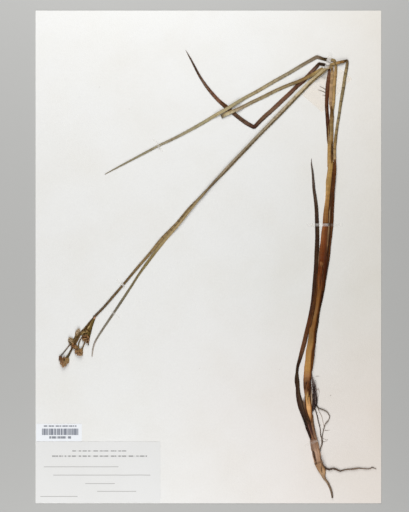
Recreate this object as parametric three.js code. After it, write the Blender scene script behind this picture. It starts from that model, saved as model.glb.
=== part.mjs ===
// A rush plant, dried and pressed flat, fixed to a sheet of stiff white paper with gummed straps.
// Millimetres. The origin is the middle of the sheet's underside, +X to the right and +Y to the top
// of the sheet, and +Z up off the paper.

import * as THREE from 'three';

// Driving sizes

const SHEET_WIDTH = 292;
const SHEET_HEIGHT = 416;
const SHEET_THICKNESS = 0.4;
const LABEL_WIDTH = 105;
const LABEL_HEIGHT = 51.6;
const LABEL_THICKNESS = 0.12;
const STICKER_WIDTH = 38.6;
const STICKER_HEIGHT = 14.8;
const STICKER_THICKNESS = 0.1;
const FILM_WIDTH = 22.5;
const FILM_LENGTH = 38;
const FILM_THICKNESS = 0.05;
const FILM_ANGLE = THREE.MathUtils.degToRad(48.8);
const CORNER_MARGIN = 0.5;
const GLUE_GAP = 0.02;
const STRAP_THICKNESS = 0.14;
const STRAP_WIDTH = 1.9;
const MIDDLE_STRAP_WIDTH = 2.7;
const BROAD_STRAP_WIDTH = 3.7;

// Heights of a pressed part above its width, and the most that each kind stands up

const BLADE_RATIO = 0.35;
const ROOT_RATIO = 0.75;
const EDGE_THICKNESS = 0.12;

// Finishes: colour, roughness

const finishes = {
  sheet: [0xf0efec, 0.85],
  label: [0xe6e5e1, 0.8],
  sticker: [0xf2f5fb, 0.45],
  film: [0xe9e0d2, 0.3],
  strap: [0xe4dccd, 0.5],
  paleLeaf: [0x96906a, 0.7],
  oliveLeaf: [0x857a55, 0.7],
  oliveStem: [0x7d7048, 0.65],
  cutStem: [0x9a8454, 0.65],
  deadLeaf: [0x5c3826, 0.75],
  darkLeaf: [0x47352a, 0.75],
  darkSheath: [0x4f2a18, 0.7],
  redSheath: [0x7a4430, 0.7],
  goldenStem: [0xa87f44, 0.6],
  footSheath: [0x3f2a2a, 0.75],
  rhizome: [0xa1806a, 0.85],
  root: [0x5c4c42, 0.85],
  flower: [0x9c6c3c, 0.8],
  bract: [0x6b5c30, 0.75],
};

function finish(name) {
  const [color, roughness] = finishes[name];
  return new THREE.MeshStandardMaterial({ color, roughness, metalness: 0 });
}

// Cross-sections as [across, up], across from -1 to 1 and up from 0 to 1. A pressed stem is flat
// below and domed above, and a strap is a plain strip.

const PRESSED_SECTION = [[-1, 0.35], [-0.72, 0], [0.72, 0], [1, 0.35], [0.6, 0.9], [0, 1], [-0.6, 0.9]];
const STRIP_SECTION = [[-1, 1], [-1, 0], [1, 0], [1, 1]];
const LONGEST_MITRE = 1.9;

// Carries a cross-section along a route. Each stop is { x, y, width, bottom, thickness }, and the
// section stands upright on it, mitred where the route turns.
function sweep(stops, section) {
  const positions = [];
  const indices = [];
  const sides = section.length;
  const headings = stops.slice(1).map((stop, i) => {
    const before = stops[i];
    return new THREE.Vector2(stop.x - before.x, stop.y - before.y).normalize();
  });
  stops.forEach((stop, i) => {
    const coming = headings[Math.max(i - 1, 0)];
    const going = headings[Math.min(i, headings.length - 1)];
    const along = coming.clone().add(going).normalize();
    const mitre = Math.min(1 / along.dot(going), LONGEST_MITRE);
    const rightX = along.y;
    const rightY = -along.x;
    for (const [across, up] of section) {
      const reach = across * mitre * stop.width / 2;
      positions.push(stop.x + rightX * reach, stop.y + rightY * reach, stop.bottom + up * stop.thickness);
    }
  });
  for (let i = 0; i < stops.length - 1; i += 1) {
    for (let side = 0; side < sides; side += 1) {
      const near = i * sides + side;
      const nearNext = i * sides + (side + 1) % sides;
      indices.push(near, near + sides, nearNext, nearNext, near + sides, nearNext + sides);
    }
  }
  const last = (stops.length - 1) * sides;
  for (let side = 1; side < sides - 1; side += 1) {
    indices.push(0, side, side + 1);
    indices.push(last, last + side + 1, last + side);
  }
  const geometry = new THREE.BufferGeometry();
  geometry.setAttribute('position', new THREE.Float32BufferAttribute(positions, 3));
  geometry.setIndex(indices);
  geometry.computeVertexNormals();
  return geometry;
}

const specimen = new THREE.Group();

function add(name, geometry, finishName) {
  const mesh = new THREE.Mesh(geometry, finish(finishName));
  mesh.name = name;
  specimen.add(mesh);
  return mesh;
}

// A pressed stem, leaf or root. Each point of its route is [x, y, width, lift], with lift the
// height of its underside over the paper: more than a hair where it crosses another.
function addStrand(name, finishName, thickest, ratio, route) {
  const stops = route.map(([x, y, width, lift]) => ({
    x,
    y,
    width,
    bottom: SHEET_THICKNESS + lift,
    thickness: Math.min(thickest, EDGE_THICKNESS + ratio * width),
  }));
  add(name, sweep(stops, PRESSED_SECTION), finishName);
}

// A gummed strap, flat on the paper at both ends and over the plant between them. Each point of
// its route is [x, y, lift].
function addStrap(name, width, route) {
  const stops = route.map(([x, y, lift]) => ({
    x,
    y,
    width,
    bottom: SHEET_THICKNESS + lift,
    thickness: STRAP_THICKNESS,
  }));
  add(name, sweep(stops, STRIP_SECTION), 'strap');
}

// The sheet, and what is stuck flat on it

const sheet = add('mounting_sheet', new THREE.BoxGeometry(SHEET_WIDTH, SHEET_HEIGHT, SHEET_THICKNESS), 'sheet');
sheet.position.z = SHEET_THICKNESS / 2;

const leftEdge = -SHEET_WIDTH / 2 + CORNER_MARGIN;
const lowEdge = -SHEET_HEIGHT / 2 + CORNER_MARGIN;

const label = add('collection_label', new THREE.BoxGeometry(LABEL_WIDTH, LABEL_HEIGHT, LABEL_THICKNESS), 'label');
label.position.set(
  leftEdge + LABEL_WIDTH / 2,
  lowEdge + LABEL_HEIGHT / 2,
  SHEET_THICKNESS + GLUE_GAP + LABEL_THICKNESS / 2,
);

const stickerShape = new THREE.BoxGeometry(STICKER_WIDTH, STICKER_HEIGHT, STICKER_THICKNESS);
const sticker = add('catalogue_sticker', stickerShape, 'sticker');
sticker.position.set(
  leftEdge + STICKER_WIDTH / 2,
  lowEdge + LABEL_HEIGHT + CORNER_MARGIN / 2 + STICKER_HEIGHT / 2,
  SHEET_THICKNESS + GLUE_GAP + STICKER_THICKNESS / 2,
);

const film = add('film_patch', new THREE.BoxGeometry(FILM_LENGTH, FILM_WIDTH, FILM_THICKNESS), 'film');
film.position.set(100.1, 143.7, SHEET_THICKNESS + GLUE_GAP + FILM_THICKNESS / 2);
film.rotation.z = FILM_ANGLE;

// Stems and leaves, from where each leaves its sheath or node to its tip

addStrand('flowering_stem', 'oliveStem', 0.8, BLADE_RATIO, [
  [105.2, 56.6, 1.7, 0.05], [106.1, 69.3, 1.9, 0.05], [106.7, 81.9, 2.0, 0.05], [106.8, 90.4, 2.1, 0.05],
  [107.6, 99.3, 2.2, 0.05], [109.2, 113.3, 2.4, 0.05], [110.2, 120.4, 2.4, 0.05], [111.3, 127.4, 2.6, 0.15],
  [112.7, 134.7, 2.6, 0.15], [114.1, 144.0, 2.7, 0.15], [115.0, 149.3, 2.7, 0.15], [116.2, 156.2, 2.6, 0.15],
  [117.0, 161.7, 2.5, 0.2], [117.2, 165.6, 1.8, 0.3], [112.2, 164.2, 2.6, 0.95], [106.8, 162.8, 2.6, 0.95],
  [102.9, 161.8, 2.6, 0.95], [99.2, 158.1, 2.4, 0.95], [93.8, 153.6, 2.2, 0.95], [87.5, 148.0, 2.2, 0.1],
  [80.4, 140.4, 2.2, 0.05], [61.1, 120.4, 2.2, 0.05], [44.1, 103.5, 2.1, 0.05], [29.1, 88.3, 2.1, 0.05],
  [14.0, 73.1, 2.0, 0.05], [6.4, 65.0, 1.9, 0.05], [-0.3, 57.5, 1.9, 0.05], [-7.9, 49.6, 1.9, 0.05],
  [-15.5, 41.4, 1.9, 0.05], [-26.5, 29.1, 1.9, 0.05], [-41.0, 14.4, 1.8, 0.05], [-49.7, 3.6, 1.8, 0.05],
  [-60.0, -8.2, 1.7, 0.05], [-72.5, -23.8, 1.7, 0.05], [-81.4, -34.8, 1.6, 0.05], [-88.1, -42.5, 1.6, 0.05],
  [-95.6, -50.5, 1.6, 0.05],
]);

addStrand('long_leaf', 'oliveLeaf', 0.5, BLADE_RATIO, [
  [103.5, 126.9, 1.4, 0.15], [103.1, 130.1, 1.9, 0.15], [103.4, 140.5, 2.4, 0.15], [103.9, 149.5, 2.4, 0.15],
  [104.5, 155.4, 2.2, 0.15], [104.6, 157.9, 2.2, 0.5], [103.7, 160.3, 2.4, 1.9], [98.5, 158.8, 2.2, 1.9],
  [93.2, 154.4, 2.2, 1.9], [86.7, 148.6, 2.2, 1.05], [79.6, 141.2, 2.2, 0.95], [60.2, 121.3, 2.2, 0.95],
  [43.2, 104.3, 2.2, 0.95], [28.2, 89.1, 2.1, 0.95], [13.2, 73.9, 2.0, 0.95], [6.3, 66.0, 1.9, 0.95],
  [0.5, 58.7, 1.8, 0.95], [-4.6, 52.8, 1.8, 0.95], [-9.0, 47.5, 1.8, 0.95], [-15.1, 39.9, 1.9, 0.95],
  [-25.0, 27.4, 1.9, 0.85], [-36.4, 14.4, 2.2, 0.05], [-44.6, 3.4, 1.9, 0.05], [-53.3, -6.8, 1.7, 0.05],
  [-58.2, -13.7, 1.6, 0.05], [-64.0, -23.0, 1.4, 0.05], [-74.3, -39.4, 1.2, 0.05], [-84.5, -54.2, 1.1, 0.05],
  [-89.9, -61.4, 1.0, 0.05], [-93.8, -67.8, 0.9, 0.05], [-96.2, -72.6, 0.8, 0.05], [-97.5, -77.1, 0.8, 0.05],
  [-98.2, -83.6, 0.4, 0.05],
]);

addStrand('upper_leaf', 'paleLeaf', 0.6, BLADE_RATIO, [
  [105.2, 126.9, 1.4, 0.15], [105.7, 130.1, 1.9, 0.15], [106.1, 140.5, 2.4, 0.15], [106.8, 149.5, 2.4, 0.15],
  [107.2, 156.2, 2.3, 0.15], [107.2, 161.3, 2.2, 0.15], [106.8, 166.2, 2.4, 0.15], [103.1, 167.1, 2.8, 0.1],
  [99.1, 167.4, 3.0, 0.1], [95.1, 168.4, 3.0, 0.05], [91.6, 169.1, 3.1, 0.05], [79.9, 162.6, 3.3, 0.05],
  [69.3, 156.8, 3.3, 0.05], [55.4, 148.2, 3.3, 0.05], [41.3, 140.6, 3.3, 0.05], [30.9, 134.3, 3.3, 0.05],
  [25.4, 131.1, 3.3, 0.7], [16.6, 125.7, 3.3, 0.7], [7.7, 120.4, 3.3, 0.7], [3.0, 117.9, 3.3, 0.05],
  [-2.4, 114.6, 3.3, 0.05], [-15.7, 107.3, 3.2, 0.05], [-31.2, 98.8, 3.0, 0.05], [-41.5, 94.0, 2.5, 0.05],
  [-53.9, 87.8, 2.1, 0.05], [-74.8, 76.9, 1.4, 0.05], [-87.5, 69.8, 0.4, 0.05],
]);

addStrand('cut_stem', 'cutStem', 0.6, BLADE_RATIO, [
  [96.8, 159.0, 2.9, 0.15], [93.4, 157.3, 3.0, 0.15], [90.2, 155.7, 3.0, 0.75], [79.9, 150.6, 3.1, 0.75],
  [74.2, 148.4, 3.1, 0.75], [69.6, 146.9, 3.1, 0.05], [58.2, 142.2, 3.1, 0.05], [46.1, 135.9, 3.1, 0.05],
  [36.4, 131.5, 3.1, 0.05], [29.6, 127.9, 3.1, 0.05], [25.8, 125.8, 3.1, 0.75], [19.9, 123.1, 3.1, 0.75],
  [15.3, 120.7, 3.1, 0.75], [10.9, 118.2, 3.0, 0.2],
]);

addStrand('withered_leaf', 'deadLeaf', 0.5, BLADE_RATIO, [
  [100.4, 99.0, 0.7, 0.05], [100.4, 104.7, 1.7, 0.05], [100.3, 111.5, 2.6, 0.05], [100.1, 118.6, 2.6, 0.05],
  [99.6, 125.6, 2.4, 0.15], [99.7, 132.6, 2.8, 0.15], [100.1, 137.1, 3.0, 0.15], [100.4, 144.0, 3.1, 0.15],
  [101.0, 151.0, 3.0, 0.15], [101.9, 156.7, 2.2, 0.15], [101.9, 158.9, 2.0, 0.15], [98.3, 162.3, 2.4, 0.15],
  [93.7, 162.7, 2.8, 0.1], [86.7, 156.4, 3.3, 0.05], [80.2, 149.7, 3.3, 0.05], [75.2, 145.1, 3.3, 0.05],
  [68.4, 137.8, 3.2, 0.05], [60.6, 131.1, 3.2, 0.05], [53.7, 124.2, 3.2, 0.05], [46.1, 117.0, 3.3, 0.05],
  [38.5, 109.8, 3.1, 0.05], [32.3, 113.7, 3.1, 0.05], [24.5, 119.8, 3.0, 0.05], [14.3, 127.5, 2.8, 0.05],
  [9.5, 131.9, 2.7, 0.05], [3.0, 138.2, 2.5, 0.05], [-3.1, 146.5, 2.4, 0.05], [-8.0, 154.2, 1.9, 0.05],
  [-11.9, 161.0, 1.5, 0.05], [-15.3, 168.2, 1.1, 0.05], [-19.2, 174.8, 0.3, 0.05],
]);

addStrand('basal_leaf', 'darkLeaf', 0.7, BLADE_RATIO, [
  [87.0, 83.1, 0.3, 0.05], [87.0, 78.5, 1.1, 0.05], [87.8, 73.0, 1.7, 0.05], [88.5, 65.4, 2.1, 0.05],
  [89.3, 57.9, 2.6, 0.05], [90.4, 50.3, 2.8, 0.05], [91.4, 42.8, 3.2, 0.05], [91.6, 29.8, 3.2, 0.05],
  [91.6, 16.6, 3.3, 0.05], [91.3, 1.7, 3.2, 0.05], [90.7, -5.9, 3.3, 0.05], [89.9, -17.3, 3.5, 0.05],
  [89.2, -25.3, 3.4, 0.05], [88.4, -33.4, 3.4, 0.05], [87.4, -39.7, 3.5, 0.05], [86.5, -46.3, 3.5, 0.05],
  [85.1, -52.7, 3.5, 0.05], [83.6, -59.1, 3.5, 0.05], [82.3, -65.6, 3.7, 0.05], [81.1, -71.8, 3.8, 0.05],
  [79.8, -76.6, 3.6, 0.05], [78.3, -81.4, 3.5, 0.05], [76.7, -87.8, 2.8, 0.05], [75.3, -92.7, 2.3, 0.05],
  [74.8, -97.6, 2.2, 0.05], [74.7, -101.8, 3.1, 0.05], [74.7, -105.6, 3.6, 0.05], [75.2, -110.6, 3.1, 0.05],
  [76.0, -117.0, 3.9, 0.05], [77.1, -121.6, 4.7, 0.05], [78.5, -126.7, 5.3, 0.05], [80.4, -132.3, 5.6, 0.05],
]);

// The stalk and its sheaths

addStrand('side_sheath', 'darkSheath', 0.5, BLADE_RATIO, [
  [106.7, 82.3, 1.2, 0.95], [106.9, 76.9, 2.3, 0.95], [106.4, 70.9, 3.0, 0.95], [105.7, 63.3, 3.3, 0.95],
  [104.8, 55.7, 3.5, 0.95], [104.4, 48.1, 3.8, 0.05], [104.1, 40.9, 3.7, 0.05], [104.0, 33.4, 3.0, 0.05],
  [103.6, 26.2, 2.6, 0.05], [103.1, 18.6, 1.9, 0.05], [102.3, 9.3, 1.7, 0.05], [101.8, 1.7, 1.4, 0.05],
  [100.8, -5.9, 1.4, 0.05], [99.8, -13.5, 1.4, 0.05], [98.9, -21.1, 1.4, 0.05], [98.1, -28.7, 1.3, 0.05],
  [96.1, -36.3, 1.3, 0.05], [94.7, -43.1, 1.2, 0.05], [93.3, -49.8, 1.1, 0.05], [92.7, -55.7, 1.1, 0.05],
  [91.3, -62.5, 1.1, 0.05], [90.8, -68.4, 1.1, 0.05], [90.2, -74.3, 1.1, 0.05], [89.4, -79.8, 1.0, 0.05],
  [88.8, -86.1, 0.9, 0.05], [88.2, -92.9, 0.5, 0.05],
]);

addStrand('upper_stem', 'goldenStem', 1.2, BLADE_RATIO, [
  [104.3, 125.7, 1.7, 0.05], [104.3, 123.6, 2.5, 0.05], [104.3, 118.6, 2.6, 0.05], [103.6, 111.5, 3.2, 0.05],
  [103.4, 104.7, 3.5, 0.05], [103.1, 97.6, 3.7, 0.05], [103.0, 90.4, 4.1, 0.05], [103.0, 83.6, 4.7, 0.05],
  [103.1, 78.5, 5.0, 0.05], [102.4, 70.9, 4.5, 0.05], [101.4, 63.3, 4.6, 0.05], [100.8, 56.0, 4.1, 0.05],
  [100.3, 48.5, 3.6, 0.05], [100.0, 40.9, 4.1, 0.05], [99.7, 33.4, 5.0, 0.05], [99.4, 27.0, 5.4, 0.05],
]);

addStrand('stem_sheath', 'redSheath', 1.5, BLADE_RATIO, [
  [99.4, 26.7, 5.4, 0.05], [98.9, 20.3, 6.1, 0.05], [98.2, 12.7, 6.5, 0.05], [97.6, 5.1, 6.4, 0.05],
  [97.0, -5.9, 6.1, 0.05], [96.0, -13.5, 5.9, 0.05], [95.3, -21.1, 5.9, 0.05], [94.4, -27.4, 6.0, 0.05],
]);

addStrand('lower_stem', 'goldenStem', 1.7, BLADE_RATIO, [
  [94.3, -27.7, 6.0, 0.05], [92.7, -36.3, 5.6, 0.05], [91.6, -43.1, 4.6, 0.05], [90.5, -49.8, 4.3, 0.05],
  [89.4, -55.7, 5.1, 0.05], [88.0, -62.5, 5.3, 0.05], [87.3, -68.4, 5.7, 0.05], [86.7, -74.3, 5.7, 0.05],
  [85.7, -79.8, 6.0, 0.05], [85.3, -86.1, 5.9, 0.05], [84.7, -92.9, 5.8, 0.05], [84.5, -100.5, 5.9, 0.05],
  [83.8, -106.8, 6.0, 0.05], [83.4, -113.2, 5.2, 0.05], [84.0, -118.2, 4.7, 0.05], [84.5, -122.5, 4.4, 0.05],
  [84.9, -126.7, 4.2, 0.05], [85.7, -130.9, 3.9, 0.05], [86.5, -134.2, 2.6, 0.05], [86.8, -135.9, 1.4, 0.05],
]);

addStrand('base_sheath', 'footSheath', 1.6, BLADE_RATIO, [
  [82.1, -134.0, 2.5, 0.05], [82.9, -136.9, 4.4, 0.05], [84.8, -139.6, 7.1, 0.05], [85.7, -142.3, 7.7, 0.05],
  [87.2, -147.0, 6.2, 0.05], [88.5, -151.2, 5.6, 0.05], [89.7, -155.7, 5.4, 0.05],
]);

// The underground stem and its roots

addStrand('rhizome', 'rhizome', 3.2, BLADE_RATIO, [
  [89.4, -156.2, 5.3, 0.05], [90.3, -160.5, 6.3, 0.05], [91.4, -164.7, 6.8, 0.05], [92.9, -170.2, 6.7, 0.05],
  [94.8, -176.5, 7.4, 0.05], [95.9, -181.2, 7.2, 0.05], [97.0, -185.0, 3.9, 0.05], [98.4, -187.5, 2.7, 0.05],
]);

addStrand('end_root', 'root', 1.2, ROOT_RATIO, [
  [98.6, -187.9, 2.2, 0.05], [99.8, -189.6, 1.5, 0.05], [101.2, -191.2, 1.4, 0.05], [103.0, -194.4, 1.4, 0.05],
  [103.9, -197.6, 1.4, 0.05], [104.9, -203.1, 1.5, 0.05],
]);

addStrand('side_root', 'root', 1.2, ROOT_RATIO, [
  [99.5, -178.8, 1.5, 0.05], [102.1, -179.3, 1.4, 0.05], [104.8, -178.6, 1.3, 0.05], [107.6, -179.3, 1.4, 0.05],
  [111.2, -180.9, 1.3, 0.05], [115.4, -179.7, 1.2, 0.05], [120.4, -179.3, 1.1, 0.05], [123.1, -179.3, 1.4, 0.05],
  [126.8, -178.4, 1.0, 0.05], [130.9, -178.7, 0.9, 0.05], [136.0, -178.6, 0.8, 0.05], [138.3, -177.7, 0.8, 0.05],
  [141.6, -179.3, 0.4, 0.05],
]);

addStrand('root_tuft', 'root', 1.8, ROOT_RATIO, [
  [88.3, -101.1, 0.8, 0.05], [88.9, -105.6, 2.1, 0.05], [89.6, -110.6, 3.0, 0.05], [89.9, -115.4, 3.6, 0.05],
  [90.1, -120.2, 3.7, 0.05], [89.9, -124.7, 3.3, 0.05], [88.9, -127.5, 1.7, 0.05], [88.2, -130.4, 0.6, 0.05],
]);

addStrand('hanging_root', 'root', 1.2, ROOT_RATIO, [
  [90.2, -127.9, 0.9, 0.05], [91.6, -132.6, 0.9, 0.05], [93.0, -138.5, 0.9, 0.05], [95.1, -146.5, 0.9, 0.05],
  [94.8, -149.2, 0.8, 0.05], [96.1, -153.7, 1.1, 0.05], [95.8, -156.9, 1.5, 0.05], [95.1, -160.0, 1.0, 0.05],
  [94.8, -162.2, 0.7, 0.05],
]);

addStrand('loop_root', 'root', 1.2, ROOT_RATIO, [
  [91.9, -126.4, 0.8, 0.05], [93.6, -127.8, 0.8, 0.05], [96.5, -128.8, 0.8, 0.05], [100.3, -130.7, 0.8, 0.05],
  [102.7, -134.5, 0.8, 0.05], [101.7, -138.2, 0.8, 0.05], [99.1, -141.0, 0.8, 0.05], [97.9, -144.2, 0.8, 0.05],
  [97.6, -148.1, 0.8, 0.05], [97.0, -152.2, 0.7, 0.05],
]);

// The flower cluster: a bract that opens from the stem's end, stalks, and heads of pointed flowers

addStrand('flower_bract', 'bract', 1.3, BLADE_RATIO, [
  [-96.4, -51.9, 1.8, 0.05], [-97.9, -54.2, 2.8, 0.05], [-99.9, -57.8, 4.9, 0.05], [-102.0, -61.2, 7.4, 0.05],
  [-103.6, -63.4, 8.2, 0.05], [-104.4, -65.1, 5.8, 0.05],
]);

const stalks = [
  [[-108.6, -66.2, 1.6, 0.05], [-110.2, -69.2, 2.9, 0.05], [-111.8, -72.0, 1.8, 0.05]],
  [[-114.8, -76.5, 1.2, 0.05], [-116.4, -80.0, 1.2, 0.05], [-117.3, -81.6, 1.2, 0.05]],
  [[-116.9, -73.6, 0.8, 0.05], [-120.2, -77.7, 0.8, 0.05], [-122.7, -81.1, 0.9, 0.05]],
  [[-107.6, -68.9, 0.9, 0.05], [-108.7, -71.2, 1.0, 0.05], [-109.9, -73.8, 1.1, 0.05], [-109.5, -76.2, 1.1, 0.05]],
  [[-104.9, -74.1, 1.0, 0.05], [-105.7, -75.9, 1.1, 0.05], [-106.2, -76.8, 1.1, 0.05]],
];
stalks.forEach((route, i) => addStrand(`flower_ray_${i + 1}`, 'bract', 0.9, ROOT_RATIO, route));

// A pressed head of flowers: a low mound with pointed scales all round. It is
// { at, reach, height, points, turn }, with reach its half sizes across and up the sheet.
const HEAD_NOTCH = 0.66;
const HEAD_CROWN = 0.58;
const HEAD_UNEVENNESS = 0.12;

function headGeometry({ at, reach, height, points, turn }) {
  const positions = [];
  const indices = [];
  const around = points * 2;
  const floor = SHEET_THICKNESS + 0.05;
  const levels = [[1, 0], [1, 0.22], [HEAD_CROWN, 0.8]];
  for (const [spread, up] of levels) {
    for (let i = 0; i < around; i += 1) {
      const angle = turn + i * 2 * Math.PI / around;
      const tip = i % 2 === 0 ? 1 - HEAD_UNEVENNESS * (1 + Math.sin(i * 2.7 + turn * 5)) : HEAD_NOTCH;
      const radius = spread === 1 ? tip : spread;
      positions.push(
        at[0] + Math.cos(angle) * radius * reach[0],
        at[1] + Math.sin(angle) * radius * reach[1],
        floor + up * height,
      );
    }
  }
  const lowest = levels.length * around;
  positions.push(at[0], at[1], floor, at[0], at[1], floor + height);
  for (let i = 0; i < around; i += 1) {
    const next = (i + 1) % around;
    indices.push(lowest, next, i);
    for (let level = 0; level < levels.length - 1; level += 1) {
      const low = level * around;
      const high = low + around;
      indices.push(low + i, low + next, high + i, low + next, high + next, high + i);
    }
    const crown = (levels.length - 1) * around;
    indices.push(crown + i, crown + next, lowest + 1);
  }
  const geometry = new THREE.BufferGeometry();
  geometry.setAttribute('position', new THREE.Float32BufferAttribute(positions, 3));
  geometry.setIndex(indices);
  geometry.computeVertexNormals();
  return geometry;
}

const heads = [
  { at: [-122.0, -87.0], reach: [5.6, 5.6], height: 3.6, points: 13, turn: 0.3 },
  { at: [-109.3, -80.3], reach: [4.4, 3.9], height: 3.0, points: 11, turn: 1.1 },
  { at: [-103.7, -70.0], reach: [3.4, 4.0], height: 2.6, points: 10, turn: 0.7 },
  { at: [-110.2, -63.9], reach: [2.1, 1.9], height: 1.8, points: 8, turn: 0.1 },
  { at: [-116.3, -70.8], reach: [3.2, 2.1], height: 1.8, points: 9, turn: 0.5 },
  { at: [-113.4, -74.6], reach: [1.7, 1.8], height: 1.8, points: 7, turn: 0.9 },
];
heads.forEach((head, i) => add(`flower_head_${i + 1}`, headGeometry(head), 'flower'));

// The straps, each from one end to the other

addStrap('strap_1', STRAP_WIDTH, [
  [-46.3, 99.7, 0.03], [-43.7, 96.0, 0.03], [-43.0, 95.0, 0.76], [-41.2, 92.4, 0.76], [-40.5, 91.4, 0.03],
  [-38.8, 88.9, 0.03],
]);
addStrap('strap_2', STRAP_WIDTH, [
  [-77.4, -19.4, 0.03], [-74.2, -22.0, 0.03], [-73.3, -22.7, 0.88], [-71.3, -24.3, 0.88], [-70.4, -25.0, 0.03],
  [-69.0, -26.1, 0.03],
]);
addStrap('strap_3', STRAP_WIDTH, [
  [-82.9, -45.1, 0.03], [-81.4, -46.3, 0.03], [-80.8, -46.8, 0.7], [-79.7, -47.7, 0.7], [-79.0, -48.2, 0.03],
  [-75.3, -51.2, 0.03],
]);
addStrap('strap_4', MIDDLE_STRAP_WIDTH, [
  [82.8, 27.0, 0.03], [88.2, 27.0, 0.03], [89.8, 27.0, 0.86], [93.3, 27.0, 0.86], [96.2, 27.0, 1.66],
  [101.2, 27.0, 1.66], [105.4, 27.0, 0.64], [107.2, 27.0, 0.03], [113.3, 27.0, 0.03],
]);
addStrap('strap_5', BROAD_STRAP_WIDTH, [
  [103.5, 172.7, 0.03], [102.9, 170.6, 0.03], [102.2, 168.5, 0.86], [101.4, 165.6, 0.9], [100.7, 163.3, 2.0],
  [100.3, 161.9, 2.55], [98.6, 156.1, 2.55], [98.1, 154.4, 1.9], [97.4, 151.7, 0.15], [97.0, 150.2, 0.15],
]);
addStrap('strap_6', STRAP_WIDTH, [
  [81.2, -159.5, 0.03], [85.2, -157.7, 0.03], [87.2, -156.8, 2.15], [92.4, -154.5, 2.15], [94.0, -153.8, 0.03],
  [94.9, -153.4, 0.03],
]);

export default specimen;
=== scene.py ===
import math
import random

import bmesh
import bpy
from mathutils import Matrix, Vector, noise


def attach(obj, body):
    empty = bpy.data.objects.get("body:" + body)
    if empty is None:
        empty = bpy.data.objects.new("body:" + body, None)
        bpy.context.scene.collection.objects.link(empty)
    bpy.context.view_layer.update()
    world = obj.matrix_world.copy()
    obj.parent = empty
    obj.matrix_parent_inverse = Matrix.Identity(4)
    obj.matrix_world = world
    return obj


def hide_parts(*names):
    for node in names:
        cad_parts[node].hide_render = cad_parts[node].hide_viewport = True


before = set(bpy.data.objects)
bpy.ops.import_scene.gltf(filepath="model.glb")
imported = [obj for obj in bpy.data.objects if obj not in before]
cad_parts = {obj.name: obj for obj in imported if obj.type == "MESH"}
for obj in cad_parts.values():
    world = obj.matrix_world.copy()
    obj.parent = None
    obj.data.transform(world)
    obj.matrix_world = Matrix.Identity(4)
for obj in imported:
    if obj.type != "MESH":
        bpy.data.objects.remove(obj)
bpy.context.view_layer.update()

# The mounting sheet. It is stiff, uncoated white paper with a soft fibre grain, a little cockled, and
# yellowed towards the right-hand edge. It is one flat slip with its corners just rounded, and
# everything else on the specimen lies on its upper face.

MM = 0.001
SHEET_SIZE = (292, 416, 0.4)
SHEET_TOP = SHEET_SIZE[2]
SHEET_CORNER = 0.7
SHEET_RIM = 0.08
SHEET_SPECKS = [
    (-91.9, 143.5, 0.45), (-67.0, 125.0, 0.4), (103.2, -116.9, 0.7), (-7.6, -94.4, 0.35), (60.0, -95.0, 0.3),
]
MIX_SHARE, MIX_UNDER, MIX_OVER, MIX_RESULT = 0, 6, 7, 2


def daylight(red, green, blue):
    """A colour as it looks on a screen, 0 to 255, as the linear colour that a shader takes."""
    levels = [level / 255 for level in (red, green, blue)]
    return [v / 12.92 if v <= 0.04045 else ((v + 0.055) / 1.055) ** 2.4 for v in levels] + [1]


def feed(tree, socket, value):
    """Links another node's output to an input, or sets the input to a plain value."""
    if isinstance(value, bpy.types.NodeSocket):
        tree.links.new(value, socket)
    else:
        socket.default_value = value


def put(tree, kind, inputs=None, **settings):
    """Puts a node in a tree, and fills its inputs with values or with other nodes' outputs."""
    made = tree.nodes.new(kind)
    for key, value in settings.items():
        setattr(made, key, value)
    for key, value in (inputs or {}).items():
        feed(tree, made.inputs[key], value)
    return made


def reckon(tree, operation, *values):
    """One Math node, which gives its output."""
    return put(tree, "ShaderNodeMath", dict(enumerate(values)), operation=operation).outputs[0]


def spread(tree, value, low, high, to_low=0.0, to_high=1.0):
    """Carries the span low to high onto to_low to to_high, and stops at the ends."""
    inputs = {"Value": value, "From Min": low, "From Max": high, "To Min": to_low, "To Max": to_high}
    return put(tree, "ShaderNodeMapRange", inputs).outputs["Result"]


def tint(tree, share, under, over, blend="MIX"):
    """Lays one colour over another by share."""
    inputs = {MIX_SHARE: share, MIX_UNDER: under, MIX_OVER: over}
    return put(tree, "ShaderNodeMix", inputs, data_type="RGBA", blend_type=blend).outputs[MIX_RESULT]


def mottle(tree, place, scale, detail):
    """Soft noise over a place."""
    return put(tree, "ShaderNodeTexNoise", {"Vector": place, "Scale": scale, "Detail": detail}).outputs["Fac"]


def own_place(tree):
    """The place of a point on its piece, in metres."""
    return put(tree, "ShaderNodeTexCoord").outputs["Object"]


def axes_of(tree, place):
    """A place's X, Y and Z."""
    return put(tree, "ShaderNodeSeparateXYZ", {"Vector": place}).outputs


def start_group(name, inputs, outputs):
    """A new node group, as (tree, its inputs). inputs and outputs give each socket's kind by its name."""
    tree = bpy.data.node_groups.new(name, "ShaderNodeTree")
    for direction, sockets in (("INPUT", inputs), ("OUTPUT", outputs)):
        for socket, kind in sockets.items():
            tree.interface.new_socket(name=socket, in_out=direction, socket_type=f"NodeSocket{kind}")
    return tree, put(tree, "NodeGroupInput").outputs


def start_finish(name, **plain):
    """A new material with its plain shader values set, as (material, tree, shader)."""
    material = bpy.data.materials.new(name)
    material.use_nodes = True
    tree = material.node_tree
    shader = tree.nodes["Principled BSDF"]
    for key, value in plain.items():
        shader.inputs[key.replace("_", " ")].default_value = value
    return material, tree, shader


def join_up(tree, shader, color, height=None, depth=0.0, roughness=None):
    """Feeds a colour, a relief of that depth in metres and a roughness to the shader."""
    tree.links.new(color, shader.inputs["Base Color"])
    if height is not None:
        bump = put(tree, "ShaderNodeBump", {"Strength": 1.0, "Distance": depth, "Height": height})
        tree.links.new(bump.outputs["Normal"], shader.inputs["Normal"])
    if roughness is not None:
        tree.links.new(roughness, shader.inputs["Roughness"])


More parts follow.
